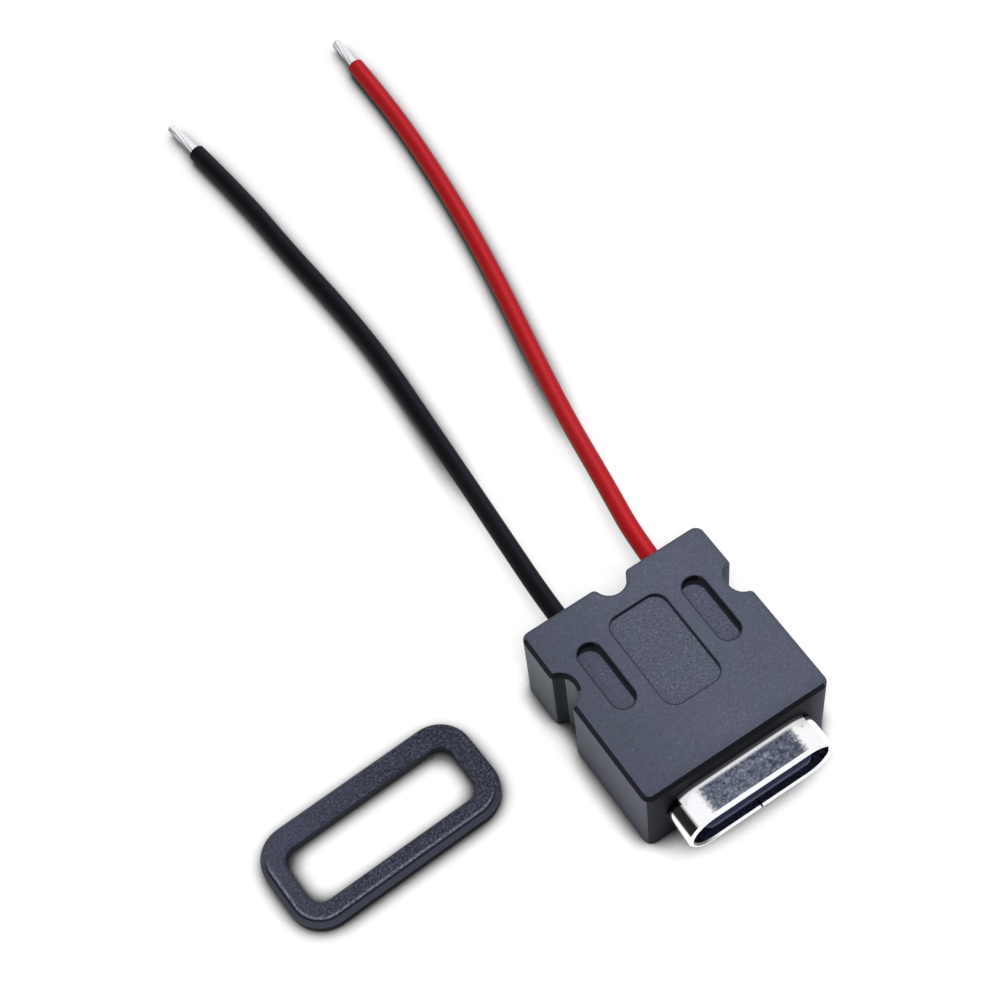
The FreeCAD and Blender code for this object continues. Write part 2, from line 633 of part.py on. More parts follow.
def make_solder(doc, label, wire_x, core_rod):
    """Solder joint: a blunt cone on the board, round the conductor's end."""
    cone = doc.addObject("Part::Cone", label + "_cone")
    sizes_and_place = {
        "Radius1": "sizes.solder_foot_radius",
        "Radius2": "sizes.solder_head_radius",
        "Height": "sizes.solder_height",
        "Placement.Base.x": wire_x,
        "Placement.Base.y": LIP_Y + " + " + JOINT_DEPTH,
        "Placement.Base.z": MIDDLE_Z + " + " + BOARD_THICKNESS + " / 2",
    }
    bind(cone, sizes_and_place)
    return cone, cut_from(doc, label, cone, core_rod)


def make_inner_mould(doc, held):
    """Inner moulding: a block behind the shell, with the shape of all that it holds cut out."""
    body = new_body(doc, "inner_mould_blank")
    section = new_sketch(body, "inner_mould_section", "XZ_Plane", "-sizes.shell_length")
    draw_rectangle(section, INNER_MOULD_WIDTH, INNER_MOULD_HEIGHT)
    length = INNER_MOULD_END + " - sizes.shell_length"
    pad(body, section, length, "inner_mould_pad", backwards=True)

    def is_long(edge):
        ends = edge.Vertexes
        shift = ends[0].Point - ends[1].Point
        return abs(shift.y) > TOUCH

    round_edges(body, "inner_mould_edges", "sizes.inner_mould_bevel", is_long, "PartDesign::Chamfer")
    return body, cut_from(doc, "inner_mould", body, fused(doc, "held_pieces", held))


def make_housing_block(doc):
    """Moulded block with its notches, softened outline, top panel and slots."""
    body = new_body(doc, "housing_block", in_mouth_frame=False)
    height = value(doc, HOUSING_HEIGHT)
    half_width = value(doc, HOUSING_WIDTH + " / 2")
    half_length = value(doc, HOUSING_LENGTH + " / 2")
    footprint = new_sketch(body, "footprint", "XY_Plane")
    draw_rectangle(footprint, HOUSING_WIDTH, HOUSING_LENGTH)
    pad(body, footprint, HOUSING_HEIGHT, "block_pad")

    notches = new_sketch(body, "notches", "XY_Plane")
    for sign in ("", "-"):
        side_x = "%s(%s / 2 + sizes.side_notch_overhang)" % (sign, HOUSING_WIDTH)
        draw_circle(notches, "sizes.side_notch_radius", (side_x, "sizes.side_notch_setback"))
    rear_y = HOUSING_LENGTH + " / 2 + sizes.rear_notch_overhang"
    draw_circle(notches, "sizes.rear_notch_radius", ("0", rear_y))
    pocket(body, notches, "notch_cut", backwards=True)

    def corner(edge):
        if not is_upright(edge):
            return False
        foot = edge.Vertexes[0]
        at_side = abs(abs(foot.X) - half_width) < TOUCH
        return at_side and abs(abs(foot.Y) - half_length) < TOUCH

    def notch_edge(edge):
        if not is_upright(edge):
            return False
        foot = edge.Vertexes[0]
        on_side = abs(abs(foot.X) - half_width) < TOUCH
        on_rear = abs(foot.Y - half_length) < TOUCH
        return on_side or on_rear and abs(foot.X) < half_width / 2

    def top_rim(edge):
        return lies_at(edge, 2, height)

    round_edges(body, "corner_rounding", "sizes.housing_corner_radius", corner)
    round_edges(body, "notch_rounding", "sizes.notch_edge_round", notch_edge)
    round_edges(body, "top_bevel", "sizes.housing_top_bevel", top_rim, "PartDesign::Chamfer")

    panel = new_sketch(body, "panel_outline", "XY_Plane", HOUSING_HEIGHT)
    draw_rounded_rectangle(
        panel, "sizes.panel_width", "sizes.panel_length", "sizes.panel_corner_radius",
        ("0", "sizes.panel_setback"),
    )
    pocket(body, panel, "panel_cut", "sizes.panel_depth")
    slots = new_sketch(body, "slot_outlines", "XY_Plane", HOUSING_HEIGHT)
    for sign in ("", "-"):
        middle = (sign + "sizes.slot_spacing / 2", "sizes.slot_setback")
        draw_stadium(slots, "sizes.slot_length", "sizes.slot_width", middle, upright=True)
    pocket(body, slots, "slot_cut", "sizes.slot_depth")
    return body


def make_seal_ring(doc):
    """Rubber seal ring lying on the ground beside the housing."""
    body = new_body(doc, "seal_ring", in_mouth_frame=False)
    turn = FreeCAD.Rotation(FreeCAD.Vector(0, 0, 1), value(doc, "sizes.ring_turn"))
    body.Placement = FreeCAD.Placement(FreeCAD.Vector(), turn)
    bind(body, {"Placement.Base.x": "-sizes.ring_offset_left", "Placement.Base.y": "sizes.ring_offset_back"})
    outline = new_sketch(body, "ring_outline", "XY_Plane")
    draw_rounded_rectangle(outline, "sizes.ring_length", "sizes.ring_width", "sizes.ring_corner_radius")
    draw_rounded_rectangle(
        outline, "sizes.ring_opening_length", "sizes.ring_opening_width",
        "sizes.ring_opening_corner_radius",
    )
    pad(body, outline, "sizes.ring_thickness", "ring_pad")

    def rim(edge):
        return not is_upright(edge)

    round_edges(body, "ring_bevel", "sizes.ring_edge_bevel", rim, "PartDesign::Chamfer")
    return body


def route_corners(doc, wire_x, free_route):
    """Corner points of a lead's centre line: its straight start, then the free route."""
    radius = value(doc, "sizes.wire_radius")
    exit_z = value(doc, MIDDLE_Z + " + " + WIRE_LIFT)
    start_y = value(doc, LIP_Y + " + " + STRIP_END)
    corners = [FreeCAD.Vector(wire_x, start_y, exit_z), FreeCAD.Vector(wire_x, EXIT_RUN_END, exit_z)]
    return corners + [FreeCAD.Vector(x, y, lift + radius) for x, y, lift in free_route]


def rounded_path(corners, label, before=0.0):
    """Wire of straight runs joined by tangent arcs, each as large as its two runs allow.

    It may start a length before the first corner point.
    """
    edges = []
    radii = []
    first_run = (corners[1] - corners[0]).normalize()
    here = corners[0] - first_run * before
    for last, corner, following in zip(corners, corners[1:], corners[2:]):
        run_in = corner - last
        run_out = following - corner
        turn = run_in.getAngle(run_out)
        trim = ARC_SHARE * min(run_in.Length, run_out.Length)
        radii.append(trim / math.tan(turn / 2))
        arc_start = corner - run_in.normalize() * trim
        arc_end = corner + run_out.normalize() * trim
        bend = (arc_start - corner) + (arc_end - corner)
        arc_middle = corner + bend.normalize() * (radii[-1] / math.cos(turn / 2) - radii[-1])
        edges.append(Part.LineSegment(here, arc_start).toShape())
        edges.append(Part.Arc(arc_start, arc_middle, arc_end).toShape())
        here = arc_end
    edges.append(Part.LineSegment(here, corners[-1]).toShape())
    path = Part.Wire(edges)
    print("%s: length %.2f mm, radii %s" % (label, path.Length, ["%.1f" % radius for radius in radii]))
    return path


def round_section(radius, start, direction):
    """Round face across a line of that direction."""
    return Part.Face(Part.Wire(Part.makeCircle(radius, start, direction)))


def bundle_section(radius, start, direction):
    """Six-sided face, the outline of seven strands laid close, with a corner at each side."""
    sideways = direction.cross(FreeCAD.Vector(0, 0, 1)).normalize()
    upwards = sideways.cross(direction)
    corners = []
    for corner in range(BUNDLE_SIDES):
        angle = 2 * math.pi * corner / BUNDLE_SIDES
        corners.append(start + sideways * (radius * math.cos(angle)) + upwards * (radius * math.sin(angle)))
    return Part.Face(Part.makePolygon(corners + corners[:1]))


def swept_rod(path, make_section, radius, label):
    """Solid swept along a path, its volume compared with section times length."""
    start = path.Edges[0].firstVertex().Point
    direction = path.Edges[0].tangentAt(path.Edges[0].FirstParameter)
    section = make_section(radius, start, direction)
    rod = path.makePipe(section)
    expected = section.Area * path.Length
    if abs(rod.Volume - expected) > 0.01 * expected:
        raise RuntimeError("%s has volume %.3f, not %.3f" % (label, rod.Volume, expected))
    return rod


def make_lead(doc, colour, offset, tip, route):
    """Insulation tube of one lead, and its bundle of strands with a tinned bare end."""
    corners = route_corners(doc, value(doc, offset), route)
    inner_reach = value(doc, "%s - %s + sizes.bundle_bite" % (STRIP_END, JOINT_DEPTH))
    strand_path = rounded_path(corners, colour + " strands", inner_reach)
    cover_path = rounded_path(corners, colour + " insulation")
    bundle_radius = value(doc, "sizes.bundle_radius")
    bore_radius = value(doc, "sizes.bundle_radius + sizes.bundle_clearance")
    tip_radius = value(doc, "sizes.bundle_radius + sizes.tinning")
    cover = swept_rod(cover_path, round_section, value(doc, "sizes.wire_radius"), colour + " insulation")
    bore = swept_rod(cover_path, bundle_section, bore_radius, colour + " bore")
    strands = swept_rod(strand_path, bundle_section, bundle_radius, colour + " strands")
    ahead = (corners[-1] - corners[-2]).normalize()
    bare_end = bundle_section(tip_radius, corners[-1], ahead).extrude(ahead * value(doc, tip))
    shapes = {colour + "_wire": cover.cut(bore), colour + "_conductor": strands.fuse(bare_end)}
    leads = []
    for label, shape in shapes.items():
        lead = doc.addObject("Part::Feature", label)
        lead.Label = label
        lead.Shape = shape
        lead.Placement = FreeCAD.Placement()
        leads.append(lead)
    return leads


def export(doc, pieces):
    """Check every object and each piece, then write one STEP file for each piece."""
    doc.recompute()
    for item in doc.Objects:
        if "Invalid" in item.State or "Error" in item.State:
            raise RuntimeError("%s failed: %s" % (item.Label, item.State))
    for piece in pieces:
        shape = piece.Shape
        if shape.isNull() or not shape.isValid() or len(shape.Solids) != 1:
            raise RuntimeError("%s is not one valid solid" % piece.Label)
    os.makedirs("parts", exist_ok=True)
    for piece in pieces:
        piece.Shape.exportStep(os.path.join("parts", piece.Label + ".step"))
        box = piece.Shape.BoundBox
        print("%-22s %8.3f mm3  z %.2f to %.2f" % (piece.Label, piece.Shape.Volume, box.ZMin, box.ZMax))


def main():
    """Build the whole part and write its pieces."""
    doc = FreeCAD.newDocument("waterproof_socket")
    make_sheet(doc)
    shell = make_shell(doc)
    mid_plate = make_mid_plate(doc)
    contacts = make_contacts(doc)
    tongue = make_tongue(doc, contacts + [mid_plate])
    potting = make_potting(doc, contacts)
    board = make_board(doc)
    resistors = [make_resistor(doc, "resistor_left", "-"), make_resistor(doc, "resistor_right", "")]

    lead_list = [
        ("red", RED_WIRE_OFFSET, "sizes.red_tip_length", RED_ROUTE),
        ("black", "-" + BLACK_WIRE_OFFSET, "sizes.black_tip_length", BLACK_ROUTE),
    ]
    core_start = JOINT_DEPTH + " - sizes.bundle_bite"
    past_rear = "sizes.shell_protrusion + %s + sizes.wire_radius" % HOUSING_LENGTH
    cones = []
    core_rods = []
    wire_rods = []
    joints = []
    leads = []
    for colour, offset, tip, route in lead_list:
        core_rod = make_rod(
            doc, colour + "_core_rod", "sizes.bundle_radius", offset, core_start, STRIP_END, "Part::Prism"
        )
        wire_rod = make_rod(doc, colour + "_bore", "sizes.wire_radius", offset, STRIP_END, past_rear)
        cone, joint = make_solder(doc, "solder_" + colour, offset, core_rod)
        cones.append(cone)
        joints.append(joint)
        core_rods.append(core_rod)
        wire_rods.append(wire_rod)
        leads.extend(make_lead(doc, colour, offset, tip, route))

    held = [board] + resistors + contacts + cones + core_rods + wire_rods
    mould_blank, inner_mould = make_inner_mould(doc, held)
    spaces = [make_shell_space(doc), mould_blank] + wire_rods
    housing = cut_from(doc, "housing", make_housing_block(doc), fused(doc, "housing_spaces", spaces))
    ring = make_seal_ring(doc)
    pieces = [housing, shell, tongue, mid_plate] + contacts
    pieces += [potting, board] + resistors + joints + [inner_mould] + leads + [ring]
    export(doc, pieces)


main()
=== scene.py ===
"""Waterproof charging socket: finishes, leads, floor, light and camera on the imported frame."""
import math

import bmesh
import bpy
from bpy.props import FloatProperty, FloatVectorProperty, IntProperty, PointerProperty
from mathutils import Matrix, Quaternion, Vector


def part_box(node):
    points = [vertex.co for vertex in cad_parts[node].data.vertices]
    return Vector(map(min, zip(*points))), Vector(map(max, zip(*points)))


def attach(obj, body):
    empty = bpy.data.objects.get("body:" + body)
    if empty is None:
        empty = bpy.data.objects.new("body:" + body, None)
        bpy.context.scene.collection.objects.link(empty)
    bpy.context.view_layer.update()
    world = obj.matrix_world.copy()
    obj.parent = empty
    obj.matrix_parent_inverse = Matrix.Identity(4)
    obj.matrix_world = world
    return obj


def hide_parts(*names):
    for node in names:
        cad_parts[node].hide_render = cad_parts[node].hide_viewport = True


bl_info = {
    "name": "Waterproof Socket",
    "version": (1, 0, 0),
    "blender": (4, 5, 0),
    "location": "View3D > Sidebar > Socket",
    "description": "Dresses the waterproof socket and its two leads, and lights them",
    "category": "Object",
}

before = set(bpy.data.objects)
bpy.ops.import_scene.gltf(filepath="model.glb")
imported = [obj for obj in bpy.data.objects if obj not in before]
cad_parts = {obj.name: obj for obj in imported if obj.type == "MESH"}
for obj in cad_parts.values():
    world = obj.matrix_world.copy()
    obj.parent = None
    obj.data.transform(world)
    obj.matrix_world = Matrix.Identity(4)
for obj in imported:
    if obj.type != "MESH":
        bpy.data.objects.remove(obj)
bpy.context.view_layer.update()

MM = 0.001
HOUSING_LOW, HOUSING_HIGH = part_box("housing")
SHELL_LOW, SHELL_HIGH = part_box("shell")
HOUSING_LEFT_MM = HOUSING_LOW.x / MM
HOUSING_FRONT_MM = HOUSING_LOW.y / MM
HOUSING_TOP_MM = HOUSING_HIGH.z / MM
SHELL_FRONT_MM = SHELL_LOW.y / MM
SHELL_MIDDLE_MM = (SHELL_LOW.z + SHELL_HIGH.z) / 2 / MM

# Rounded outlines in millimetres: centre, half width and half length, corner radius
SLOT_HALF, SLOT_RADIUS = (0.675, 2.1), 0.675
SLOTS = [((-3.25, 1.2), SLOT_HALF, SLOT_RADIUS), ((3.25, 1.2), SLOT_HALF, SLOT_RADIUS)]
PANELS = [((0.0, 0.72), (1.7, 2.925), 0.75)]
SHELL_OUTLINE = ((0.0, SHELL_MIDDLE_MM), (4.47, 1.58), 1.58)
RING_OUTLINE = ((0.0, 0.0), (6.35, 3.025), 1.9)

# How far the ring's middle lies to the left and to the back, and how far the ring is turned
RING_LEFT_MM, RING_BACK_MM, RING_TURN = 16.22, 3.12, math.radians(2.6)

# Paint on the recesses: how deep it reaches, and how far each kind's shadow is shifted
RECESS_REACH_MM = 0.7
SLOT_SHADOW, PANEL_SHADOW = (-0.2, -0.2), (-0.09, -0.08)

# Paint on the shell: where its round ends begin, half the seam's width, and how far the seam
# lies below the middle of the shell
ROUND_END_MM = 2.9
SEAM_HALF_MM = 0.055
SEAM_DROP_MM = 1.22

# Paint on the ring, in millimetres inside its outer outline
FLANK_INSET_MM, GROOVE_INSET_MM, HIGHLIGHT_INSET_MM, OUTER_INSET_MM = 0.36, 0.27, 0.40, 0.6

# Height below which the front of the tongue carries a painted paler highlight
TONGUE_EDGE_MM = 2.88

# Lamp, and the floor: how far it lies below the part, the share of light that it scatters to
# the eye, its own glow, and its colour for the light that it throws back up
KEY_PLACE, KEY_TARGET, KEY_SIZE = (-0.048, -0.09, 0.26), (0.0, 0.012, 0.0), 0.09
FLOOR_DROP = 0.00003
FLOOR_WHITE, FLOOR_GLOW = 0.65, 0.42
FLOOR_RETURN = (0.45, 0.45, 0.45, 1.0)

# Leads: their thickness, and the twisted strands of their bare tips
WIRE_DIAMETER = 0.00105
RED_TIP, BLACK_TIP = 0.00235, 0.0027
TIP_OVERLAP = 0.0004
TIP_CORE_RADIUS = 0.00021
STRAND_STEPS, STRAND_SIDES = 14, 8
STRAND_TWIST, STRAND_SWAY, STRAND_UNEVEN = 0.22, 0.03, 0.12
TAPER_SHARE = 0.3

SHARP_ANGLE = math.radians(32.0)

# Route of each lead, from inside the block to the cut end of its insulation
RED_ROUTE = [
    (0.00308, 0.0036, 0.0034),
    (0.00308, 0.0074, 0.0034),
    (0.00395, 0.0119, 0.002825),
    (0.00505, 0.0172, 0.001325),
    (0.00620, 0.0224, 0.000615),
    (0.00740, 0.0280, 0.000535),
    (0.00835, 0.0336, 0.000525),
    (0.00900, 0.0392, 0.000525),
    (0.00928, 0.0436, 0.000525),
    (0.00930, 0.0471, 0.000525),
]
BLACK_ROUTE = [
    (-0.00282, 0.0036, 0.0034),
    (-0.00282, 0.0074, 0.0034),
    (-0.00245, 0.0116, 0.002875),
    (-0.00180, 0.0169, 0.001405),
    (-0.00135, 0.0220, 0.000625),
    (-0.00100, 0.0276, 0.000535),
    (-0.00112, 0.0324, 0.000525),
    (-0.00150, 0.0374, 0.000525),
    (-0.00166, 0.0422, 0.000525),
    (-0.00223, 0.0472, 0.000525),
]
RED_LENGTH = 0.0443
BLACK_LENGTH = 0.0440


def shade(red, green, blue):
    """Linear colour of a screen colour in steps of 0 to 255."""
    linear = []
    for step in (red, green, blue):
        part = step / 255
        linear.append(part / 12.92 if part <= 0.04045 else ((part + 0.055) / 1.055) ** 2.4)
    return tuple(linear)


class StageSettings(bpy.types.PropertyGroup):
    """Camera, floor and light."""

    aim_point: FloatVectorProperty(
        name="Aim point", description="Point of the floor at the middle of the picture",
        default=(-0.00054, 0.01582, 0.0), subtype="XYZ", unit="LENGTH",
    )
    camera_distance: FloatProperty(
        name="Camera distance", description="Camera to the aim point",
        default=0.12257, min=0.02, subtype="DISTANCE", unit="LENGTH",
    )
    camera_heading: FloatProperty(
        name="Camera heading", description="Turn of the view to the right of the +Y direction",
        default=math.radians(25.7), subtype="ANGLE", unit="ROTATION",
    )
    camera_elevation: FloatProperty(
        name="Camera elevation", description="Height of the camera above the horizon",
        default=math.radians(60.0), subtype="ANGLE", unit="ROTATION",
    )
    camera_roll: FloatProperty(
        name="Camera roll", description="Turn of the picture about the line of sight",
        default=math.radians(9.0), subtype="ANGLE", unit="ROTATION",
    )
    lens: FloatProperty(
        name="Lens", description="Focal length in millimetres", default=79.2, min=10.0,
    )
    key_level: FloatProperty(
        name="Key level", description="Light that the key lamp gives a level surface",
        default=0.62, min=0.0,
    )
    sky_level: FloatProperty(
        name="Sky level", description="Light that the surroundings give a level surface",
        default=0.42, min=0.0,
    )
    shadow_reach: FloatProperty(
        name="Shadow reach", description="Width of the dark rim that a piece leaves on the floor",
        default=0.0012, min=0.0, subtype="DISTANCE", unit="LENGTH", precision=4,
    )
    floor_size: FloatProperty(
        name="Floor size", description="Side of the square floor", default=3.0, min=0.2,
        subtype="DISTANCE", unit="LENGTH",
    )


class HousingLook(bpy.types.PropertyGroup):
    """Moulded block and its inner moulding."""

    colour: FloatVectorProperty(
        name="Colour", description="Slate grey plastic", default=shade(88, 91, 108),
        subtype="COLOR", min=0.0, max=1.0,
    )
    drift_colour: FloatVectorProperty(
        name="Drift colour", description="Tint of the faint clouds in the plastic",
        default=shade(84, 93, 104), subtype="COLOR", min=0.0, max=1.0,
    )
    inner_colour: FloatVectorProperty(
        name="Inner colour", description="Inner moulding", default=shade(70, 74, 84),
        subtype="COLOR", min=0.0, max=1.0,
    )
    grain: FloatProperty(
        name="Grain", description="Size of the fine speckle", default=0.00008, min=0.00002,
        subtype="DISTANCE", unit="LENGTH", precision=5,
    )
    recess_grain: FloatProperty(
        name="Recess grain", description="Size of the coarser speckle in the recesses",
        default=0.00012, min=0.00002, subtype="DISTANCE", unit="LENGTH", precision=5,
    )


class MetalLook(bpy.types.PropertyGroup):
    """Shell, mid plate, contacts and solder."""

    shell_colour: FloatVectorProperty(
        name="Shell colour", description="Bright drawn steel", default=shade(249, 249, 252),
        subtype="COLOR", min=0.0, max=1.0,
    )
    contact_colour: FloatVectorProperty(
        name="Contact colour", description="Gold plated contacts",
        default=shade(218, 176, 96), subtype="COLOR", min=0.0, max=1.0,
    )
    solder_colour: FloatVectorProperty(
        name="Solder colour", description="Solder and tinned strands",
        default=shade(205, 204, 208), subtype="COLOR", min=0.0, max=1.0,
    )


class CoreLook(bpy.types.PropertyGroup):
    """Tongue, sealing resin, board and its chips."""

    tongue_colour: FloatVectorProperty(
        name="Tongue colour", description="Insulator that carries the contacts",
        default=shade(38, 43, 66), subtype="COLOR", min=0.0, max=1.0,
    )
    resin_colour: FloatVectorProperty(
        name="Resin colour", description="Sealing resin", default=shade(30, 30, 34),
        subtype="COLOR", min=0.0, max=1.0,
    )
    board_colour: FloatVectorProperty(
        name="Board colour", description="Laminate of the circuit board",
        default=shade(26, 84, 52), subtype="COLOR", min=0.0, max=1.0,
    )
    chip_colour: FloatVectorProperty(
        name="Chip colour", description="Body of a chip resistor", default=shade(32, 33, 36),
        subtype="COLOR", min=0.0, max=1.0,
    )


class LeadLook(bpy.types.PropertyGroup):
    """The two insulated leads and their bare tips."""

    red_colour: FloatVectorProperty(
        name="Red colour", description="Insulation of the supply lead",
        default=shade(154, 13, 20), subtype="COLOR", min=0.0, max=1.0,
    )
    # The sheen colours are painted light along each lead
    red_sheen: FloatVectorProperty(
        name="Red sheen", description="Light along the supply lead", default=shade(202, 48, 56),
        subtype="COLOR", min=0.0, max=1.0,
    )
    black_colour: FloatVectorProperty(
        name="Black colour", description="Insulation of the return lead",
        default=shade(10, 10, 14), subtype="COLOR", min=0.0, max=1.0,
    )
    black_sheen: FloatVectorProperty(
        name="Black sheen", description="Light along the return lead", default=shade(35, 37, 44),
        subtype="COLOR", min=0.0, max=1.0,
    )
    strand_count: IntProperty(
        name="Strands", description="Strands on the outside of a bare tip",
        default=7, min=3, max=24,
    )
    strand_diameter: FloatProperty(
        name="Strand diameter", description="Diameter of one strand", default=0.00018, min=0.00005,
        subtype="DISTANCE", unit="LENGTH", precision=5,
    )


class RingLook(bpy.types.PropertyGroup):
    """Loose seal ring."""

    colour: FloatVectorProperty(
        name="Colour", description="Dark grey rubber", default=shade(48, 50, 62),
        subtype="COLOR", min=0.0, max=1.0,
    )
    grain: FloatProperty(
        name="Grain", description="Size of the rubber's speckle", default=0.00013, min=0.00002,
        subtype="DISTANCE", unit="LENGTH", precision=5,
    )


class Wire:
    """A shader socket that takes part in Python expressions."""

    def __init__(self, paint, socket):
        self.paint = paint
        self.socket = socket

    def joined(self, operation, first, second=0.0):
        return self.paint.add("ShaderNodeMath", {"operation": operation}, {0: first, 1: second})

    def __add__(self, other):
        return self.joined("ADD", self, other)

    def __radd__(self, other):
        return self.joined("ADD", other, self)

    def __sub__(self, other):
        return self.joined("SUBTRACT", self, other)

    def __rsub__(self, other):
        return self.joined("SUBTRACT", other, self)

    def __mul__(self, other):
        return self.joined("MULTIPLY", self, other)

    def __rmul__(self, other):
        return self.joined("MULTIPLY", other, self)

    def __gt__(self, other):
        return self.joined("GREATER_THAN", self, other)

    def __lt__(self, other):
        return self.joined("LESS_THAN", self, other)

    def __abs__(self):
        return self.joined("ABSOLUTE", self)


class Paint:
    """One material or world, with one way to add any node."""

    def __init__(self, owner):
        self.owner = owner
        owner.use_nodes = True
        self.tree = owner.node_tree

    def add(self, kind, settings=None, sockets=None, output=0):
        """New node of that kind, with its settings made first and then its sockets."""
        node = self.tree.nodes.new(kind)
        for name, value in (settings or {}).items():
            if name == "stops":
                self.set_stops(node.color_ramp, value)
            else:
                setattr(node, name, value)
        for key, value in (sockets or {}).items():
            self.feed(node.inputs[key], value)
        return Wire(self, node.outputs[output])

    def feed(self, socket, value):
        """Link or plain value for one socket."""
        if isinstance(value, Wire):
            self.tree.links.new(value.socket, socket)
        else:
            socket.default_value = value

    @staticmethod
    def set_stops(ramp, stops):
        while len(ramp.elements) < len(stops):
            ramp.elements.new(0.5)
        for element, (place, level) in zip(ramp.elements, stops):
            element.position = place
            element.color = (level, level, level, 1.0)

    def place_mm(self):
        """Place in the part's own frame, in millimetres."""
        own = self.add("ShaderNodeTexCoord", output="Object")
        return self.add("ShaderNodeVectorMath", {"operation": "SCALE"}, {0: own, "Scale": 1000.0})

    def axes(self, vector):
        """The three numbers of a vector."""
        split = self.add("ShaderNodeSeparateXYZ", sockets={0: vector})
        outputs = split.socket.node.outputs
        return [Wire(self, outputs[axis]) for axis in range(3)]

    def speckle(self, vector, size_mm, detail=2.0, roughness=0.5):
        """Noise from 0 to 1 whose grains have about that size."""
        return self.add(
            "ShaderNodeTexNoise", {"normalize": True},
            {"Vector": vector, "Scale": 1.0 / size_mm, "Detail": detail, "Roughness": roughness},
        )

    def ramp(self, value, stops):
        """Value put through a grey ramp."""
        return self.add("ShaderNodeValToRGB", {"stops": stops}, {"Fac": value})

    def blend(self, factor, first, second):
        """Colour between two others."""
        ends = [value if isinstance(value, Wire) else (*value, 1.0) for value in (first, second)]
        sockets = {"Factor": factor, 6: ends[0], 7: ends[1]}
        return self.add("ShaderNodeMix", {"data_type": "RGBA"}, sockets, output=2)

    def seen(self):
        """1 for what the camera, gloss and glass show, 0 for light between surfaces."""
        rays = self.add("ShaderNodeLightPath").socket.node.outputs
        total = Wire(self, rays["Is Camera Ray"]) + Wire(self, rays["Is Glossy Ray"])
        total = total + Wire(self, rays["Is Transmission Ray"])
        return self.lowest(total, 1.0)

    def nearness(self, reach, lean):
        """0 in the open, up to 1 right against another piece on the side that it leans to."""
        sockets = {"Distance": reach, "Normal": lean}
        open_share = self.add("ShaderNodeAmbientOcclusion", {"samples": 8}, sockets, output=1)
        return 1.0 - open_share

    def normal_axes(self):
        """The three numbers of the surface's own direction."""
        return self.axes(self.add("ShaderNodeNewGeometry", output=1))

    def highest(self, first, second):
        return self.add("ShaderNodeMath", {"operation": "MAXIMUM"}, {0: first, 1: second})

    def lowest(self, first, second):
        return self.add("ShaderNodeMath", {"operation": "MINIMUM"}, {0: first, 1: second})

    def rim_distance(self, place, centre, half, radius):
        """Distance in millimetres from a rounded rectangle's outline, below 0 inside it."""
        beyond_x = abs(place[0] - centre[0]) - (half[0] - radius)
        beyond_y = abs(place[1] - centre[1]) - (half[1] - radius)
        outside_x = self.highest(beyond_x, 0.0)
        outside_y = self.highest(beyond_y, 0.0)
        square = outside_x * outside_x + outside_y * outside_y
        reach = self.add("ShaderNodeMath", {"operation": "SQRT"}, {0: square})
        inner = self.lowest(self.highest(beyond_x, beyond_y), 0.0)
        return reach + inner - radius

    def bump(self, height, strength, depth_mm):
        """Normal of a surface that the height roughens."""
        sockets = {"Height": height, "Strength": strength, "Distance": depth_mm * MM}
        return self.add("ShaderNodeBump", sockets=sockets)

    def finish(self, **sockets):
        """Principled shader with these sockets, named with underscores for spaces."""
        shader = self.tree.nodes["Principled BSDF"]
        for name, value in sockets.items():
            self.feed(shader.inputs[name.replace("_", " ")], value)
        return self.owner


def new_paint(name):
    return Paint(bpy.data.materials.new(name))


def tinted(colour, factor):
    """A colour made lighter or darker."""
    return tuple(min(1.0, part * factor) for part in colour)


def coat_node(node, material):
    """Puts a material on every slot of a carried-over solid."""
    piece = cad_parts[node]
    if not piece.material_slots:
        piece.data.materials.append(material)
    for material_slot in piece.material_slots:
        material_slot.material = material
    return piece


def soften(piece):
    """Smooth shading with the sharp edges kept."""
    chosen = {"object": piece, "active_object": piece, "selected_editable_objects": [piece]}
    with bpy.context.temp_override(**chosen):
        bpy.ops.object.shade_smooth_by_angle(angle=SHARP_ANGLE, keep_sharp_edges=False)


def new_piece(name, mesh, material):
    """Object of the scene that rides on the part."""
    piece = bpy.data.objects.new(name, mesh)
    bpy.context.scene.collection.objects.link(piece)
    piece.data.materials.append(material)
    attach(piece, "root")
    return piece


def route_curve(name, route, radius):
    """Curve of one open spline with the route's points as its control points."""
    curve = bpy.data.curves.new(name, "CURVE")
    curve.dimensions = "3D"
    curve.resolution_u = 24
    curve.bevel_depth = radius
    curve.bevel_resolution = 8
    curve.use_fill_caps = True
    spline = curve.splines.new("NURBS")
    spline.points.add(len(route) - 1)
    for point, place in zip(spline.points, route):
        point.co = (*place, 1.0)
    spline.order_u = 3
    spline.use_endpoint_u = True
    return curve


def route_line(route):
    """Points along a route's own smooth line."""
    curve = route_curve("route_line", route, 0.0)
    helper = bpy.data.objects.new("route_line", curve)
    bpy.context.scene.collection.objects.link(helper)
    mesh = bpy.data.meshes.new_from_object(helper)
    line = [vertex.co.copy() for vertex in mesh.vertices]
    bpy.data.objects.remove(helper)
    bpy.data.curves.remove(curve)
    bpy.data.meshes.remove(mesh)
    return line


def tube_rings(shape, line, radii):
    """Adds one closed tube along a line to a mesh in the making."""
    rings = []
    for index, place in enumerate(line):
        ahead = line[min(index + 1, len(line) - 1)] - line[max(index - 1, 0)]
        turn = ahead.to_track_quat("Z", "Y")
        ring = []
        for side in range(STRAND_SIDES):
            angle = 2 * math.pi * side / STRAND_SIDES
            spoke = Vector((math.cos(angle), math.sin(angle), 0.0)) * radii[index]
            ring.append(shape.verts.new(place + turn @ spoke))
        rings.append(ring)
    for first, second in zip(rings, rings[1:]):
        for side in range(STRAND_SIDES):
            after = (side + 1) % STRAND_SIDES
            shape.faces.new((first[side], first[after], second[after], second[side]))
    shape.faces.new(list(reversed(rings[0])))
    shape.faces.new(rings[-1])


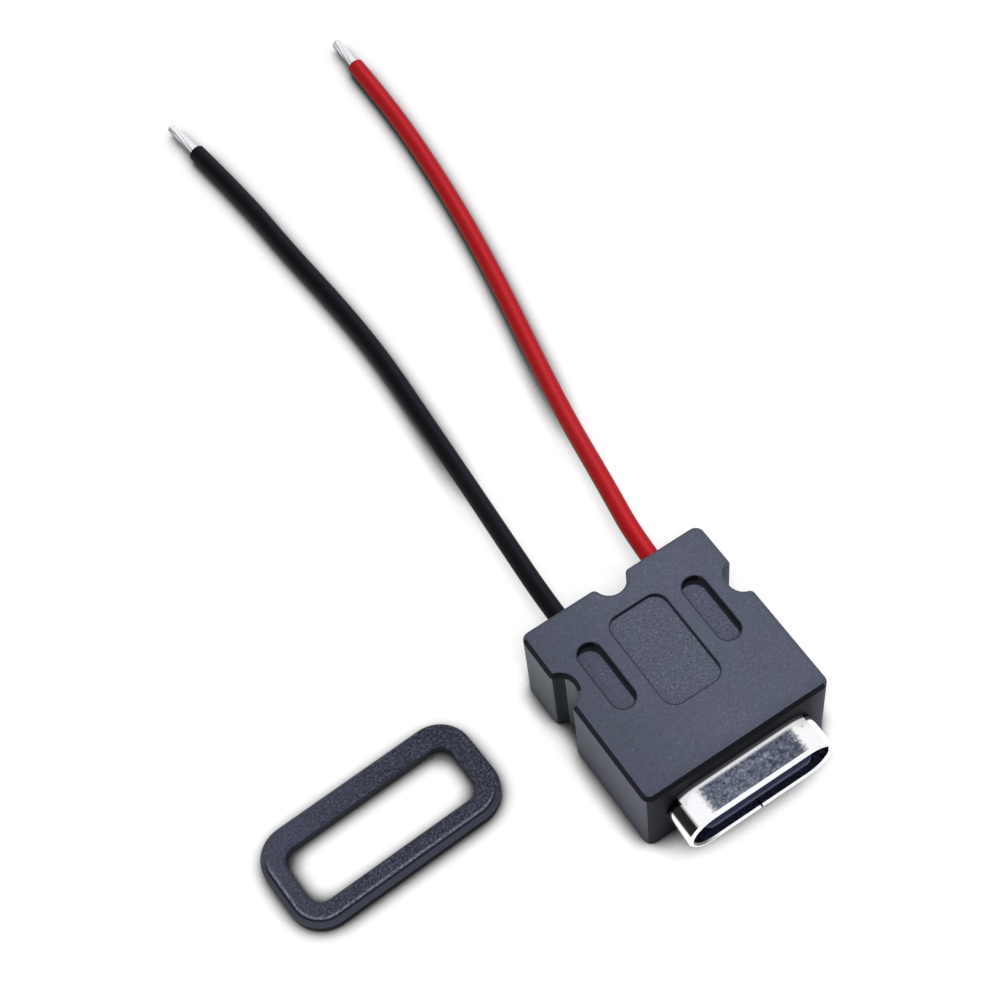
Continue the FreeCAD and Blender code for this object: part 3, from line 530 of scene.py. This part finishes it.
def strand_mesh(name, start, direction, length, look, taper):
    """Strands laid round a bare tip, with a slight twist and uneven ends."""
    shape = bmesh.new()
    turn = direction.to_track_quat("Z", "Y")
    for strand in range(look.strand_count):
        line = []
        radii = []
        for step in range(STRAND_STEPS + 1):
            along = step / STRAND_STEPS
            angle = 2 * math.pi * (strand / look.strand_count + STRAND_TWIST * along)
            past = max(0.0, along - (1.0 - TAPER_SHARE))
            reach = TIP_CORE_RADIUS * (1.0 - taper * past / TAPER_SHARE)
            sway = STRAND_SWAY * TIP_CORE_RADIUS * math.sin(9.0 * along + 2.3 * strand)
            spoke = Vector((math.cos(angle), math.sin(angle), 0.0)) * (reach + sway)
            ending = STRAND_UNEVEN * TIP_CORE_RADIUS * math.sin(5.0 * strand)
            spoke.z = along * (length + ending)
            line.append(start + turn @ spoke)
            radii.append(look.strand_diameter / 2 * (1.0 - 0.25 * taper * along))
        tube_rings(shape, line, radii)
    mesh = bpy.data.meshes.new(name)
    shape.to_mesh(mesh)
    shape.free()
    for polygon in mesh.polygons:
        polygon.use_smooth = True
    return mesh


class SOCKET_OT_stage(bpy.types.Operator):
    """Make the camera, the floor, the surroundings and the lamp"""

    bl_idname = "socket_part.stage"
    bl_label = "Stage"

    def execute(self, context):
        stage = context.scene.socket_stage
        self.make_camera(context, stage)
        self.make_floor(context, stage)
        self.make_surroundings(context, stage)
        self.make_lamp(context, stage)
        context.scene.view_settings.view_transform = "Standard"
        return {"FINISHED"}

    def make_camera(self, context, stage):
        """Camera that stands off from the aim point and looks down at it."""
        heading, elevation = stage.camera_heading, stage.camera_elevation
        look = Vector((
            math.sin(heading) * math.cos(elevation),
            math.cos(heading) * math.cos(elevation),
            -math.sin(elevation),
        ))
        level = Vector((math.cos(heading), -math.sin(heading), 0.0))
        right = Quaternion(look, stage.camera_roll) @ level
        up = right.cross(look)
        lens = bpy.data.cameras.new("camera")
        lens.sensor_width = 36.0
        lens.lens = stage.lens
        lens.clip_start = 0.002
        lens.clip_end = 20.0
        camera = bpy.data.objects.new("camera", lens)
        place = Matrix((right, up, -look)).transposed().to_4x4()
        place.translation = Vector(stage.aim_point) - look * stage.camera_distance
        camera.matrix_world = place
        context.scene.collection.objects.link(camera)
        context.scene.camera = camera

    def make_floor(self, context, stage):
        """Square floor just under the part, so that the two never share a plane."""
        half = stage.floor_size / 2
        mesh = bpy.data.meshes.new("floor")
        corners = [(-half, -half, 0.0), (half, -half, 0.0), (half, half, 0.0), (-half, half, 0.0)]
        mesh.from_pydata(corners, [], [(0, 1, 2, 3)])
        floor = bpy.data.objects.new("floor", mesh)
        floor.location.z = -FLOOR_DROP
        context.scene.collection.objects.link(floor)
        floor.data.materials.append(self.floor_finish(stage))

    def floor_finish(self, stage):
        """White paper with painted shadow near the pieces; it throws little light back up at them.
        """
        paint = new_paint("pale_floor")
        shadow_beside = paint.nearness(stage.shadow_reach, lean=(0.55, 0.52, 0.65))
        shadow_beneath = paint.nearness(2.0 * stage.shadow_reach, lean=(0.4, 0.5, 0.77))
        # Painted shadow: the paper darkens by how near the pieces are, for the eye and in
        # reflections
        level = 1.0 - paint.ramp(shadow_beside, [(0.1, 0.0), (0.5, 0.85)])
        level = level * (1.0 - paint.ramp(shadow_beneath, [(0.25, 0.0), (0.65, 0.85)]))
        paint.finish(
            Base_Color=level * FLOOR_WHITE, Roughness=1.0, Specular_IOR_Level=0.0,
            Emission_Color=level, Emission_Strength=FLOOR_GLOW,
        )
        shown = Wire(paint, paint.tree.nodes["Principled BSDF"].outputs["BSDF"])
        dim = paint.add("ShaderNodeBsdfDiffuse", sockets={"Color": FLOOR_RETURN})
        both = paint.add("ShaderNodeMixShader", sockets={0: paint.seen(), 1: dim, 2: shown})
        paint.feed(paint.tree.nodes["Material Output"].inputs["Surface"], both)
        return paint.owner

    def make_surroundings(self, context, stage):
        """White to the eye, and only as bright as the sky level for the light it gives."""
        world = bpy.data.worlds.new("surroundings")
        context.scene.world = world
        paint = Paint(world)
        backdrop = paint.tree.nodes["Background"]
        paint.feed(backdrop.inputs["Color"], (1.0, 1.0, 1.0, 1.0))
        level = paint.seen() * (1.0 - stage.sky_level) + stage.sky_level
        paint.feed(backdrop.inputs["Strength"], level)

    def make_lamp(self, context, stage):
        """Square soft lamp whose power gives a level surface the light of the key level."""
        reach = Vector(KEY_PLACE) - Vector(KEY_TARGET)
        lamp = bpy.data.lights.new("key_lamp", "AREA")
        lamp.shape = "SQUARE"
        lamp.size = KEY_SIZE
        lamp.energy = stage.key_level * math.pi ** 2 * reach.length ** 3 / reach.z
        holder = bpy.data.objects.new("key_lamp", lamp)
        holder.location = KEY_PLACE
        holder.rotation_euler = (-reach).to_track_quat("-Z", "Y").to_euler()
        holder.visible_glossy = False
        context.scene.collection.objects.link(holder)


class SOCKET_OT_leads(bpy.types.Operator):
    """Lay the two insulated leads and dress their bare tips"""

    bl_idname = "socket_part.leads"
    bl_label = "Leads"

    def execute(self, context):
        look = context.scene.socket_leads
        tinned = self.tinned_finish(tuple(context.scene.socket_metal.solder_colour))
        red = self.insulation_finish(
            "red_insulation", tuple(look.red_colour), tuple(look.red_sheen), peak=0.66, gloss=0.08
        )
        black = self.insulation_finish(
            "black_insulation", tuple(look.black_colour), tuple(look.black_sheen),
            peak=0.76, gloss=0.04,
        )
        self.lay(look, "red", RED_ROUTE, RED_LENGTH, red, tinned, RED_TIP, taper=0.05)
        self.lay(look, "black", BLACK_ROUTE, BLACK_LENGTH, black, tinned, BLACK_TIP, taper=0.35)
        return {"FINISHED"}

    def lay(self, look, colour, route, length, cover, tinned, tip_length, taper):
        """One lead: its insulation as a curve, its conductor, and the strands of its bare tip."""
        curve = route_curve(colour + "_insulation", route, WIRE_DIAMETER / 2)
        lead = new_piece(colour + "_insulation", curve, cover)
        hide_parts(colour + "_wire")
        soften(coat_node(colour + "_conductor", tinned))
        line = route_line(route)
        direction = (line[-1] - line[-2]).normalized()
        start = line[-1] - direction * TIP_OVERLAP
        mesh = strand_mesh(
            colour + "_strands", start, direction, tip_length + TIP_OVERLAP, look, taper
        )
        strands = new_piece(colour + "_strands", mesh, tinned)

    def painted_sheen_across(self, paint, stops):
        """Painted sheen and shade over a lead or tip, from its left side to its right side."""
        facing = paint.normal_axes()
        return paint.ramp(0.485 * facing[0] + 0.12 * facing[2] + 0.5, stops)

    def insulation_finish(self, name, colour, sheen, peak, gloss):
        """Smooth plastic with a painted sheen along its right side and painted shade on its left.
        """
        paint = new_paint(name)
        place = paint.place_mm()
        cloud = paint.speckle(place, 5.0, detail=3.0)
        dust = paint.speckle(place, 0.12, detail=2.0)
        before = [(0.0, 0.1), (peak - 0.35, 0.0), (peak - 0.16, 0.25)]
        after = [(peak, 1.0), (peak + 0.16, 0.5), (1.0, 0.3)]
        light = self.painted_sheen_across(paint, before + after) * (0.75 + 0.5 * cloud)
        tone = paint.blend(light, colour, sheen)
        tone = paint.blend(paint.ramp(dust, [(0.60, 0.0), (0.80, 0.1)]), tone, sheen)
        return paint.finish(
            Base_Color=tone, Roughness=0.36 + 0.14 * cloud, Normal=paint.bump(dust, 0.12, 0.02),
            Specular_IOR_Level=gloss,
        )

    def tinned_finish(self, colour):
        """Bright tin, with painted shade low on the left side of each strand and painted light on
        its right.
        """
        paint = new_paint("tinned_copper")
        place = paint.place_mm()
        blotch = paint.speckle(place, 0.25, detail=3.0)
        light = self.painted_sheen_across(paint, [(0.0, 0.0), (0.14, 0.2), (0.32, 0.95), (0.8, 1.0)])
        tone = paint.blend(light, tinted(colour, 0.22), tinted(colour, 1.5))
        dull = paint.ramp(blotch, [(0.4, 0.15), (0.6, 0.0)])
        tone = paint.blend(dull, tone, tinted(colour, 0.7))
        return paint.finish(
            Base_Color=tone, Metallic=1.0, Roughness=0.24 + 0.1 * blotch,
            Normal=paint.bump(blotch, 0.15, 0.01),
        )


class SOCKET_OT_housing(bpy.types.Operator):
    """Finish the moulded block and the moulding inside it"""

    bl_idname = "socket_part.housing"
    bl_label = "Housing"

    def execute(self, context):
        look = context.scene.socket_housing
        soften(coat_node("housing", self.block_finish(look)))
        inner = self.inner_finish(tuple(look.inner_colour))
        soften(coat_node("inner_mould", inner))
        return {"FINISHED"}

    def block_finish(self, look):
        """Speckled slate plastic, with painted light and shadows on its recesses and sides."""
        paint = new_paint("housing_plastic")
        place = paint.place_mm()
        across, along, height = axes = paint.axes(place)
        facing = paint.normal_axes()
        nearest = self.nearest_outline(paint, axes, SLOTS + PANELS)
        recess = (nearest < 0.02) * (height > HOUSING_TOP_MM - RECESS_REACH_MM)
        fine = paint.speckle(place, look.grain / MM)
        coarse = paint.speckle(place, look.recess_grain / MM)
        grain = fine + recess * 0.6 * (coarse - fine)
        colour = tuple(look.colour)
        cloud = paint.speckle(place, 3.6, detail=4.0)
        tone = paint.blend(cloud, tinted(colour, 0.84), tinted(colour, 1.14))
        drift = paint.ramp(paint.speckle(place, 2.3, detail=3.0), [(0.42, 0.0), (0.62, 0.5)])
        tone = paint.blend(drift, tone, tuple(look.drift_colour))
        bright = paint.ramp(grain, [(0.54, 0.0), (0.68, 1.0)]) * (0.2 + 0.35 * recess)
        tone = paint.blend(bright, tone, tinted(colour, 2.2))
        dark = paint.ramp(grain, [(0.34, 1.0), (0.48, 0.0)]) * (0.26 + 0.4 * recess)
        tone = paint.blend(dark, tone, tinted(colour, 0.35))
        # Painted shade: the top is darker towards its left and its front edge
        painted_left_shade = paint.ramp(0.1 * across + 0.5, [(0.0, 0.42), (0.5, 0.0)])
        tone = paint.blend(painted_left_shade, tone, tinted(colour, 0.5))
        painted_front_shade = paint.ramp(along - HOUSING_FRONT_MM, [(0.1, 0.3), (0.9, 0.0)])
        tone = paint.blend(painted_front_shade, tone, tinted(colour, 0.4))
        dots = paint.ramp(paint.speckle(place, 0.2, detail=1.0), [(0.68, 0.0), (0.75, 0.3)])
        tone = paint.blend(dots, tone, tinted(colour, 2.6))
        tone = self.painted_side_light(paint, tone, colour, axes, facing)
        # Painted shade in the recess corners and painted shadows on the recess floors, nearly
        # black
        painted_crevice_shade = self.painted_crevice_shade(paint, nearest, axes, facing)
        painted_shade_marks = paint.highest(painted_crevice_shade, self.cast_shadows(paint, axes))
        tone = paint.blend(painted_shade_marks, tone, tinted(colour, 0.05))
        relief = grain * (0.3 + 0.5 * recess)
        return paint.finish(
            Base_Color=tone, Roughness=0.5 + 0.2 * grain, Normal=paint.bump(relief, 0.6, 0.03),
            Specular_IOR_Level=0.07,
        )

    def nearest_outline(self, paint, place, outlines, shift=(0.0, 0.0)):
        """Distance from the nearest of some rounded outlines, all shifted alike."""
        nearest = None
        for centre, half, radius in outlines:
            moved = (centre[0] + shift[0], centre[1] + shift[1])
            distance = paint.rim_distance(place, moved, half, radius)
            nearest = distance if nearest is None else paint.lowest(nearest, distance)
        return nearest

    def cast_shadows(self, paint, place):
        """Painted shadows: crisp dark bands that the walls of the recesses lay on their floors."""
        height = place[2]
        bands = None
        for outlines, shift in ((SLOTS, SLOT_SHADOW), (PANELS, PANEL_SHADOW)):
            inside = self.nearest_outline(paint, place, outlines)
            moved = self.nearest_outline(paint, place, outlines, shift)
            painted_dark_band = (inside < 0.0) * paint.ramp(moved, [(0.0, 0.0), (0.05, 1.0)])
            bands = painted_dark_band if bands is None else paint.highest(bands, painted_dark_band)
        low, high = HOUSING_TOP_MM - RECESS_REACH_MM, HOUSING_TOP_MM - 0.05
        return bands * (height > low) * (height < high) * 0.9

    def painted_side_light(self, paint, tone, colour, place, facing):
        """Painted light and shade: long sides lighter upwards, and a front that is darkest behind
        the shell.
        """
        across, along, height = place
        edge = paint.ramp(0.1 * abs(across), [(0.42, 0.0), (0.56, 1.0)])
        ends = edge * (0.08 + 0.72 * (across > 0.0))
        front = paint.blend(ends, tinted(colour, 0.06), tinted(colour, 1.1))
        front_share = paint.ramp(-1.0 * facing[1], [(0.15, 0.0), (0.55, 1.0)])
        tone = paint.blend(front_share, tone, front)
        rear_share = paint.ramp(0.1 * along + 0.5, [(0.45, 0.0), (0.75, 1.0)])
        low = paint.blend(rear_share, shade(68, 69, 78), shade(76, 80, 86))
        high = paint.blend(rear_share, shade(116, 118, 132), shade(124, 133, 139))
        side = paint.blend(paint.ramp(0.16 * height, [(0.0, 0.0), (0.85, 1.0)]), low, high)
        return paint.blend((abs(facing[0]) > 0.78) * 0.85, tone, side)

    def painted_crevice_shade(self, paint, nearest, place, facing):
        """Painted shade lines round the recesses, on their walls and along the left and front
        outline.
        """
        across, along, height = place
        top = HOUSING_TOP_MM
        line = paint.ramp(abs(nearest), [(0.02, 1.0), (0.09, 0.0)]) * (height > top - 0.02)
        wall = (nearest < 0.03) * (height > top - RECESS_REACH_MM) * (facing[2] < 0.5)
        sloped = (facing[2] > 0.3) * (facing[2] < 0.95) * (height > top - 0.3) * (nearest > 0.3)
        seen_side = facing[0] + facing[1] < -0.3
        upper_side = (facing[2] < 0.3) * (height > top - 0.29)
        at_left, at_front = across < HOUSING_LEFT_MM + 1.2, along < HOUSING_FRONT_MM + 0.5
        bevel = (sloped + upper_side) * seen_side * paint.highest(at_left, at_front)
        painted_shade_marks = paint.highest(line * 0.75, wall * 0.9)
        return paint.highest(painted_shade_marks, bevel * 0.9)

    def inner_finish(self, colour):
        """Plain moulded plastic with a fine grain."""
        paint = new_paint("inner_plastic")
        grain = paint.speckle(paint.place_mm(), 0.12)
        tone = paint.blend(grain, tinted(colour, 0.85), tinted(colour, 1.15))
        return paint.finish(
            Base_Color=tone, Roughness=0.5 + 0.15 * grain, Normal=paint.bump(grain, 0.4, 0.02)
        )


class SOCKET_OT_shell(bpy.types.Operator):
    """Finish the steel shell and the plate in its tongue"""

    bl_idname = "socket_part.shell"
    bl_label = "Shell"

    def execute(self, context):
        colour = tuple(context.scene.socket_metal.shell_colour)
        soften(coat_node("shell", self.shell_finish(colour)))
        soften(coat_node("mid_plate", self.plate_finish(tinted(colour, 0.8))))
        return {"FINISHED"}

    def shell_finish(self, colour):
        """Bright steel with a mottled top and a painted dark reflection round its left end,
        painted shade and a dark seam.
        """
        paint = new_paint("shell_steel")
        place = paint.place_mm()
        across, along, height = paint.axes(place)
        facing = paint.normal_axes()
        behind = along - HOUSING_FRONT_MM
        drop = SHELL_MIDDLE_MM - height
        blotch = paint.speckle(place, 0.3, detail=4.0, roughness=0.65)
        ragged = paint.speckle(place, 0.16, detail=3.0)
        end = paint.ramp(0.2 * abs(across) + 0.12 * ragged, [(0.59, 1.0), (0.66, 0.0)])
        flat = (facing[2] > 0.985) * (drop < -1.0) * end * (along > SHELL_FRONT_MM + 0.2)
        tone = paint.blend(flat, colour, self.mottled_reflection(paint, place, across, behind, blotch, colour))
        # Painted shade on the top where the shell goes into the block
        painted_shade_at_block = paint.ramp(behind + 0.5, [(0.26, 0.0), (0.36, 0.95)]) * (facing[2] > 0.0)
        tone = paint.blend(painted_shade_at_block, tone, shade(18, 18, 22))
        # Painted reflection: a dark stripe round the left end
        painted_dark_band = paint.ramp(facing[2], [(0.34, 0.0), (0.42, 1.0), (0.74, 1.0), (0.82, 0.0)])
        painted_dark_band = painted_dark_band * (facing[0] < 0.0) * (across < -ROUND_END_MM) * (abs(facing[1]) < 0.3)
        dark = paint.blend(blotch, shade(14, 13, 16), shade(52, 47, 45))
        tone = paint.blend(painted_dark_band, tone, dark)
        rim = paint.rim_distance((across, height), *SHELL_OUTLINE)
        # Painted shade on the inner part of the lower front rim, towards the left
        painted_lip_shade = paint.ramp(0.2 * across + 1.0, [(0.3, 0.85), (0.5, 0.0)])
        painted_lip_shade = painted_lip_shade * (facing[1] < -0.7) * (rim < -0.2) * (drop > 0.0)
        tone = paint.blend(painted_lip_shade, tone, shade(30, 29, 33))
        seam = (abs(across) < SEAM_HALF_MM) * (drop > SEAM_DROP_MM)
        tone = paint.blend(seam, tone, shade(16, 16, 20))
        shoulder = paint.ramp(behind + 1.2, [(0.4, 0.0), (0.7, 0.9)]) * (facing[2] > 0.8)
        return paint.finish(
            Base_Color=tone, Metallic=1.0 - paint.highest(flat, shoulder),
            Roughness=0.07 + 0.06 * blotch + 0.4 * flat, Normal=paint.bump(blotch, 0.1, 0.02),
            Specular_IOR_Level=0.2,
        )

    def mottled_reflection(self, paint, place, across, behind, blotch, colour):
        """Cloudy grey of the flat top, partly a painted dark reflection with painted glints, with
        painted shade to the right and a painted bright reflection along its rear edge.
        """
        light = paint.ramp(blotch, [(0.36, 0.0), (0.64, 1.0)])
        tone = paint.blend(light, shade(46, 51, 66), shade(134, 140, 158))
        painted_glints = paint.ramp(paint.speckle(place, 0.15), [(0.54, 0.0), (0.70, 0.35)])
        tone = paint.blend(painted_glints, tone, shade(206, 210, 226))
        patch = paint.ramp(paint.speckle(place, 0.9), [(0.42, 0.5), (0.6, 0.0)])
        tone = paint.blend(patch, tone, shade(70, 76, 92))
        painted_right_shade = paint.ramp(0.1 * across + 0.5, [(0.55, 0.0), (0.75, 0.5)])
        tone = paint.blend(painted_right_shade, tone, shade(50, 55, 68))
        return paint.blend(paint.ramp(behind + 0.7, [(0.27, 0.0), (0.42, 0.9)]), tone, colour)

    def plate_finish(self, colour):
        """Rolled steel."""
        paint = new_paint("plate_steel")
        blotch = paint.speckle(paint.place_mm(), 0.3, detail=4.0)
        tone = paint.blend(blotch, tinted(colour, 0.8), colour)
        return paint.finish(
            Base_Color=tone, Metallic=1.0, Roughness=0.15 + 0.15 * blotch,
            Normal=paint.bump(blotch, 0.2, 0.01),
        )


class SOCKET_OT_core(bpy.types.Operator):
    """Finish the tongue, contacts, resin, board, chips and solder"""

    bl_idname = "socket_part.core"
    bl_label = "Core"

    def execute(self, context):
        look = context.scene.socket_core
        metal = context.scene.socket_metal
        tongue = self.tongue_finish(tuple(look.tongue_colour))
        soften(coat_node("tongue_block", tongue))
        gold = self.plated_finish("contact_gold", tuple(metal.contact_colour), 0.2)
        for side in ("upper", "lower"):
            for name in ("ground", "supply", "cc"):
                coat_node("contact_%s_%s" % (name, side), gold)
        resin = self.moulded_finish("sealing_resin", tuple(look.resin_colour), 0.25)
        soften(coat_node("potting", resin))
        coat_node("circuit_board", self.board_finish(tuple(look.board_colour)))
        chip = self.moulded_finish("resistor_ceramic", tuple(look.chip_colour), 0.4)
        coat_node("resistor_left", chip)
        coat_node("resistor_right", chip)
        solder = self.plated_finish("solder_tin", tuple(metal.solder_colour), 0.26)
        for colour in ("red", "black"):
            soften(coat_node("solder_" + colour, solder))
        return {"FINISHED"}

    def tongue_finish(self, colour):
        """Insulator with a painted highlight on its lower front edge and painted shade on its top
        behind its tip.
        """
        paint = new_paint("insulator_plastic")
        place = paint.place_mm()
        height = paint.axes(place)[2]
        facing = paint.normal_axes()
        grain = paint.speckle(place, 0.1)
        tone = paint.blend(paint.speckle(place, 1.1), tinted(colour, 0.9), tinted(colour, 1.15))
        painted_front_highlight = (facing[1] < -0.9) * (height < TONGUE_EDGE_MM)
        tone = paint.blend(painted_front_highlight, tone, tinted(colour, 2.2))
        # Painted shade on the top, under the shell
        tone = paint.blend((facing[2] > 0.9) * 0.8, tone, tinted(colour, 0.3))
        return paint.finish(
            Base_Color=tone, Roughness=0.45 + 0.15 * grain, Normal=paint.bump(grain, 0.2, 0.01),
            Specular_IOR_Level=0.1,
        )

    def moulded_finish(self, name, colour, rough):
        """Moulded resin or ceramic with faint clouds."""
        paint = new_paint(name)
        place = paint.place_mm()
        grain = paint.speckle(place, 0.1)
        tone = paint.blend(paint.speckle(place, 1.1), tinted(colour, 0.85), tinted(colour, 1.2))
        return paint.finish(
            Base_Color=tone, Roughness=rough + 0.15 * grain, Normal=paint.bump(grain, 0.2, 0.01)
        )

    def plated_finish(self, name, colour, rough):
        """Plated or soldered metal."""
        paint = new_paint(name)
        blotch = paint.speckle(paint.place_mm(), 0.2, detail=3.0)
        tone = paint.blend(blotch, tinted(colour, 0.8), tinted(colour, 1.1))
        return paint.finish(
            Base_Color=tone, Metallic=1.0, Roughness=rough + 0.2 * blotch,
            Normal=paint.bump(blotch, 0.2, 0.01),
        )

    def board_finish(self, colour):
        """Laminate with a faint weave."""
        paint = new_paint("board_laminate")
        weave = paint.add(
            "ShaderNodeTexWave", {"wave_type": "BANDS", "bands_direction": "X"},
            {"Vector": paint.place_mm(), "Scale": 3.0, "Distortion": 0.6},
        )
        tone = paint.blend(weave, tinted(colour, 0.85), tinted(colour, 1.15))
        return paint.finish(
            Base_Color=tone, Roughness=0.4 + 0.1 * weave, Normal=paint.bump(weave, 0.15, 0.01)
        )


class SOCKET_OT_ring(bpy.types.Operator):
    """Finish the loose seal ring"""

    bl_idname = "socket_part.ring"
    bl_label = "Seal ring"

    def execute(self, context):
        look = context.scene.socket_ring
        soften(coat_node("seal_ring", self.rubber_finish(look)))
        return {"FINISHED"}

    def rubber_finish(self, look):
        """Speckled rubber, lighter to the back left, with a painted lit strip, a painted shade
        line and a painted highlight line along its front and left, and painted shade low on its
        outer sides and on its inner walls.
        """
        paint = new_paint("seal_rubber")
        place = paint.place_mm()
        across, along, height = paint.axes(place)
        facing = paint.normal_axes()
        shift_x, shift_y = across + RING_LEFT_MM, along - RING_BACK_MM
        own_x = math.cos(RING_TURN) * shift_x + math.sin(RING_TURN) * shift_y
        own_y = math.cos(RING_TURN) * shift_y - math.sin(RING_TURN) * shift_x
        rim = paint.rim_distance((own_x, own_y), *RING_OUTLINE)
        colour = tuple(look.colour)
        painted_lit_flank = tinted(colour, 1.4)
        grain = paint.speckle(place, look.grain / MM)
        cloud = paint.ramp(paint.speckle(place, 1.6, detail=4.0), [(0.3, 0.0), (0.7, 1.0)])
        tone = paint.blend(cloud, tinted(colour, 0.9), tinted(colour, 1.6))
        bright = paint.ramp(grain, [(0.54, 0.0), (0.66, 0.75)])
        tone = paint.blend(bright, tone, tinted(colour, 3.2))
        dark = paint.ramp(grain, [(0.36, 0.75), (0.48, 0.0)])
        tone = paint.blend(dark, tone, tinted(colour, 0.3))
        # Lighter towards the back left of the top
        lighter_back_left = paint.ramp(0.06 * own_y - 0.06 * own_x, [(0.0, 0.0), (0.4, 0.5)])
        tone = paint.blend(lighter_back_left, tone, tinted(colour, 2.2))
        # Painted light: a lit outer strip on the top and on the sides along the front and left
        toward = paint.ramp(-0.5 * own_y - 0.17 * own_x, [(0.0, 0.0), (0.4, 1.0)])
        tone = paint.blend(toward * (rim > -FLANK_INSET_MM), tone, painted_lit_flank)
        # A painted shade line, then a painted highlight line, along the front and left of the top
        painted_groove_shade = paint.ramp(abs(rim + GROOVE_INSET_MM), [(0.04, 0.9), (0.1, 0.0)])
        tone = paint.blend(toward * painted_groove_shade, tone, tinted(colour, 0.15))
        painted_edge_highlight = paint.ramp(abs(rim + HIGHLIGHT_INSET_MM), [(0.03, 1.0), (0.1, 0.0)])
        painted_edge_highlight = painted_edge_highlight * paint.ramp(grain, [(0.38, 0.25), (0.62, 1.0)])
        tone = paint.blend(toward * painted_edge_highlight, tone, shade(120, 122, 136))
        # Painted shade: the outer sides darken to near black at the bottom, and the inner walls
        # are darker
        upright = facing[2] < 0.3
        outer = rim > -OUTER_INSET_MM
        lit = paint.ramp(height, [(0.42, 0.0), (0.6, 1.0)])
        side = paint.blend(lit, tinted(colour, 0.08), painted_lit_flank)
        tone = paint.blend(upright * outer, tone, side)
        tone = paint.blend(upright * (1.0 - outer) * 0.7, tone, tinted(colour, 0.2))
        return paint.finish(
            Base_Color=tone, Roughness=0.45 + 0.25 * grain, Normal=paint.bump(grain, 0.6, 0.03),
            Specular_IOR_Level=0.12,
        )


class SOCKET_PT_panel(bpy.types.Panel):
    """Lists the steps that dress the socket"""

    bl_idname = "SOCKET_PT_panel"
    bl_label = "Waterproof Socket"
    bl_space_type = "VIEW_3D"
    bl_region_type = "UI"
    bl_category = "Socket"

    def draw(self, context):
        for operator, group in STEPS:
            box = self.layout.box()
            box.operator(operator.bl_idname)
            settings = getattr(context.scene, group)
            for name in settings.bl_rna.properties.keys():
                if name not in ("rna_type", "name"):
                    box.prop(settings, name)


STEPS = [
    (SOCKET_OT_stage, "socket_stage"),
    (SOCKET_OT_leads, "socket_leads"),
    (SOCKET_OT_housing, "socket_housing"),
    (SOCKET_OT_shell, "socket_metal"),
    (SOCKET_OT_core, "socket_core"),
    (SOCKET_OT_ring, "socket_ring"),
]
GROUPS = {
    "socket_stage": StageSettings,
    "socket_housing": HousingLook,
    "socket_metal": MetalLook,
    "socket_core": CoreLook,
    "socket_leads": LeadLook,
    "socket_ring": RingLook,
}


def register():
    for name, group in GROUPS.items():
        bpy.utils.register_class(group)
        setattr(bpy.types.Scene, name, PointerProperty(type=group))
    for operator, _ in STEPS:
        bpy.utils.register_class(operator)
    bpy.utils.register_class(SOCKET_PT_panel)


def unregister():
    bpy.utils.unregister_class(SOCKET_PT_panel)
    for operator, _ in reversed(STEPS):
        bpy.utils.unregister_class(operator)
    for name, group in reversed(GROUPS.items()):
        delattr(bpy.types.Scene, name)
        bpy.utils.unregister_class(group)


def main():
    """Dresses the part step by step."""
    register()
    bpy.ops.socket_part.stage()
    bpy.ops.socket_part.leads()
    bpy.ops.socket_part.housing()
    bpy.ops.socket_part.shell()
    bpy.ops.socket_part.core()
    bpy.ops.socket_part.ring()


if __name__ == "__main__":
    main()
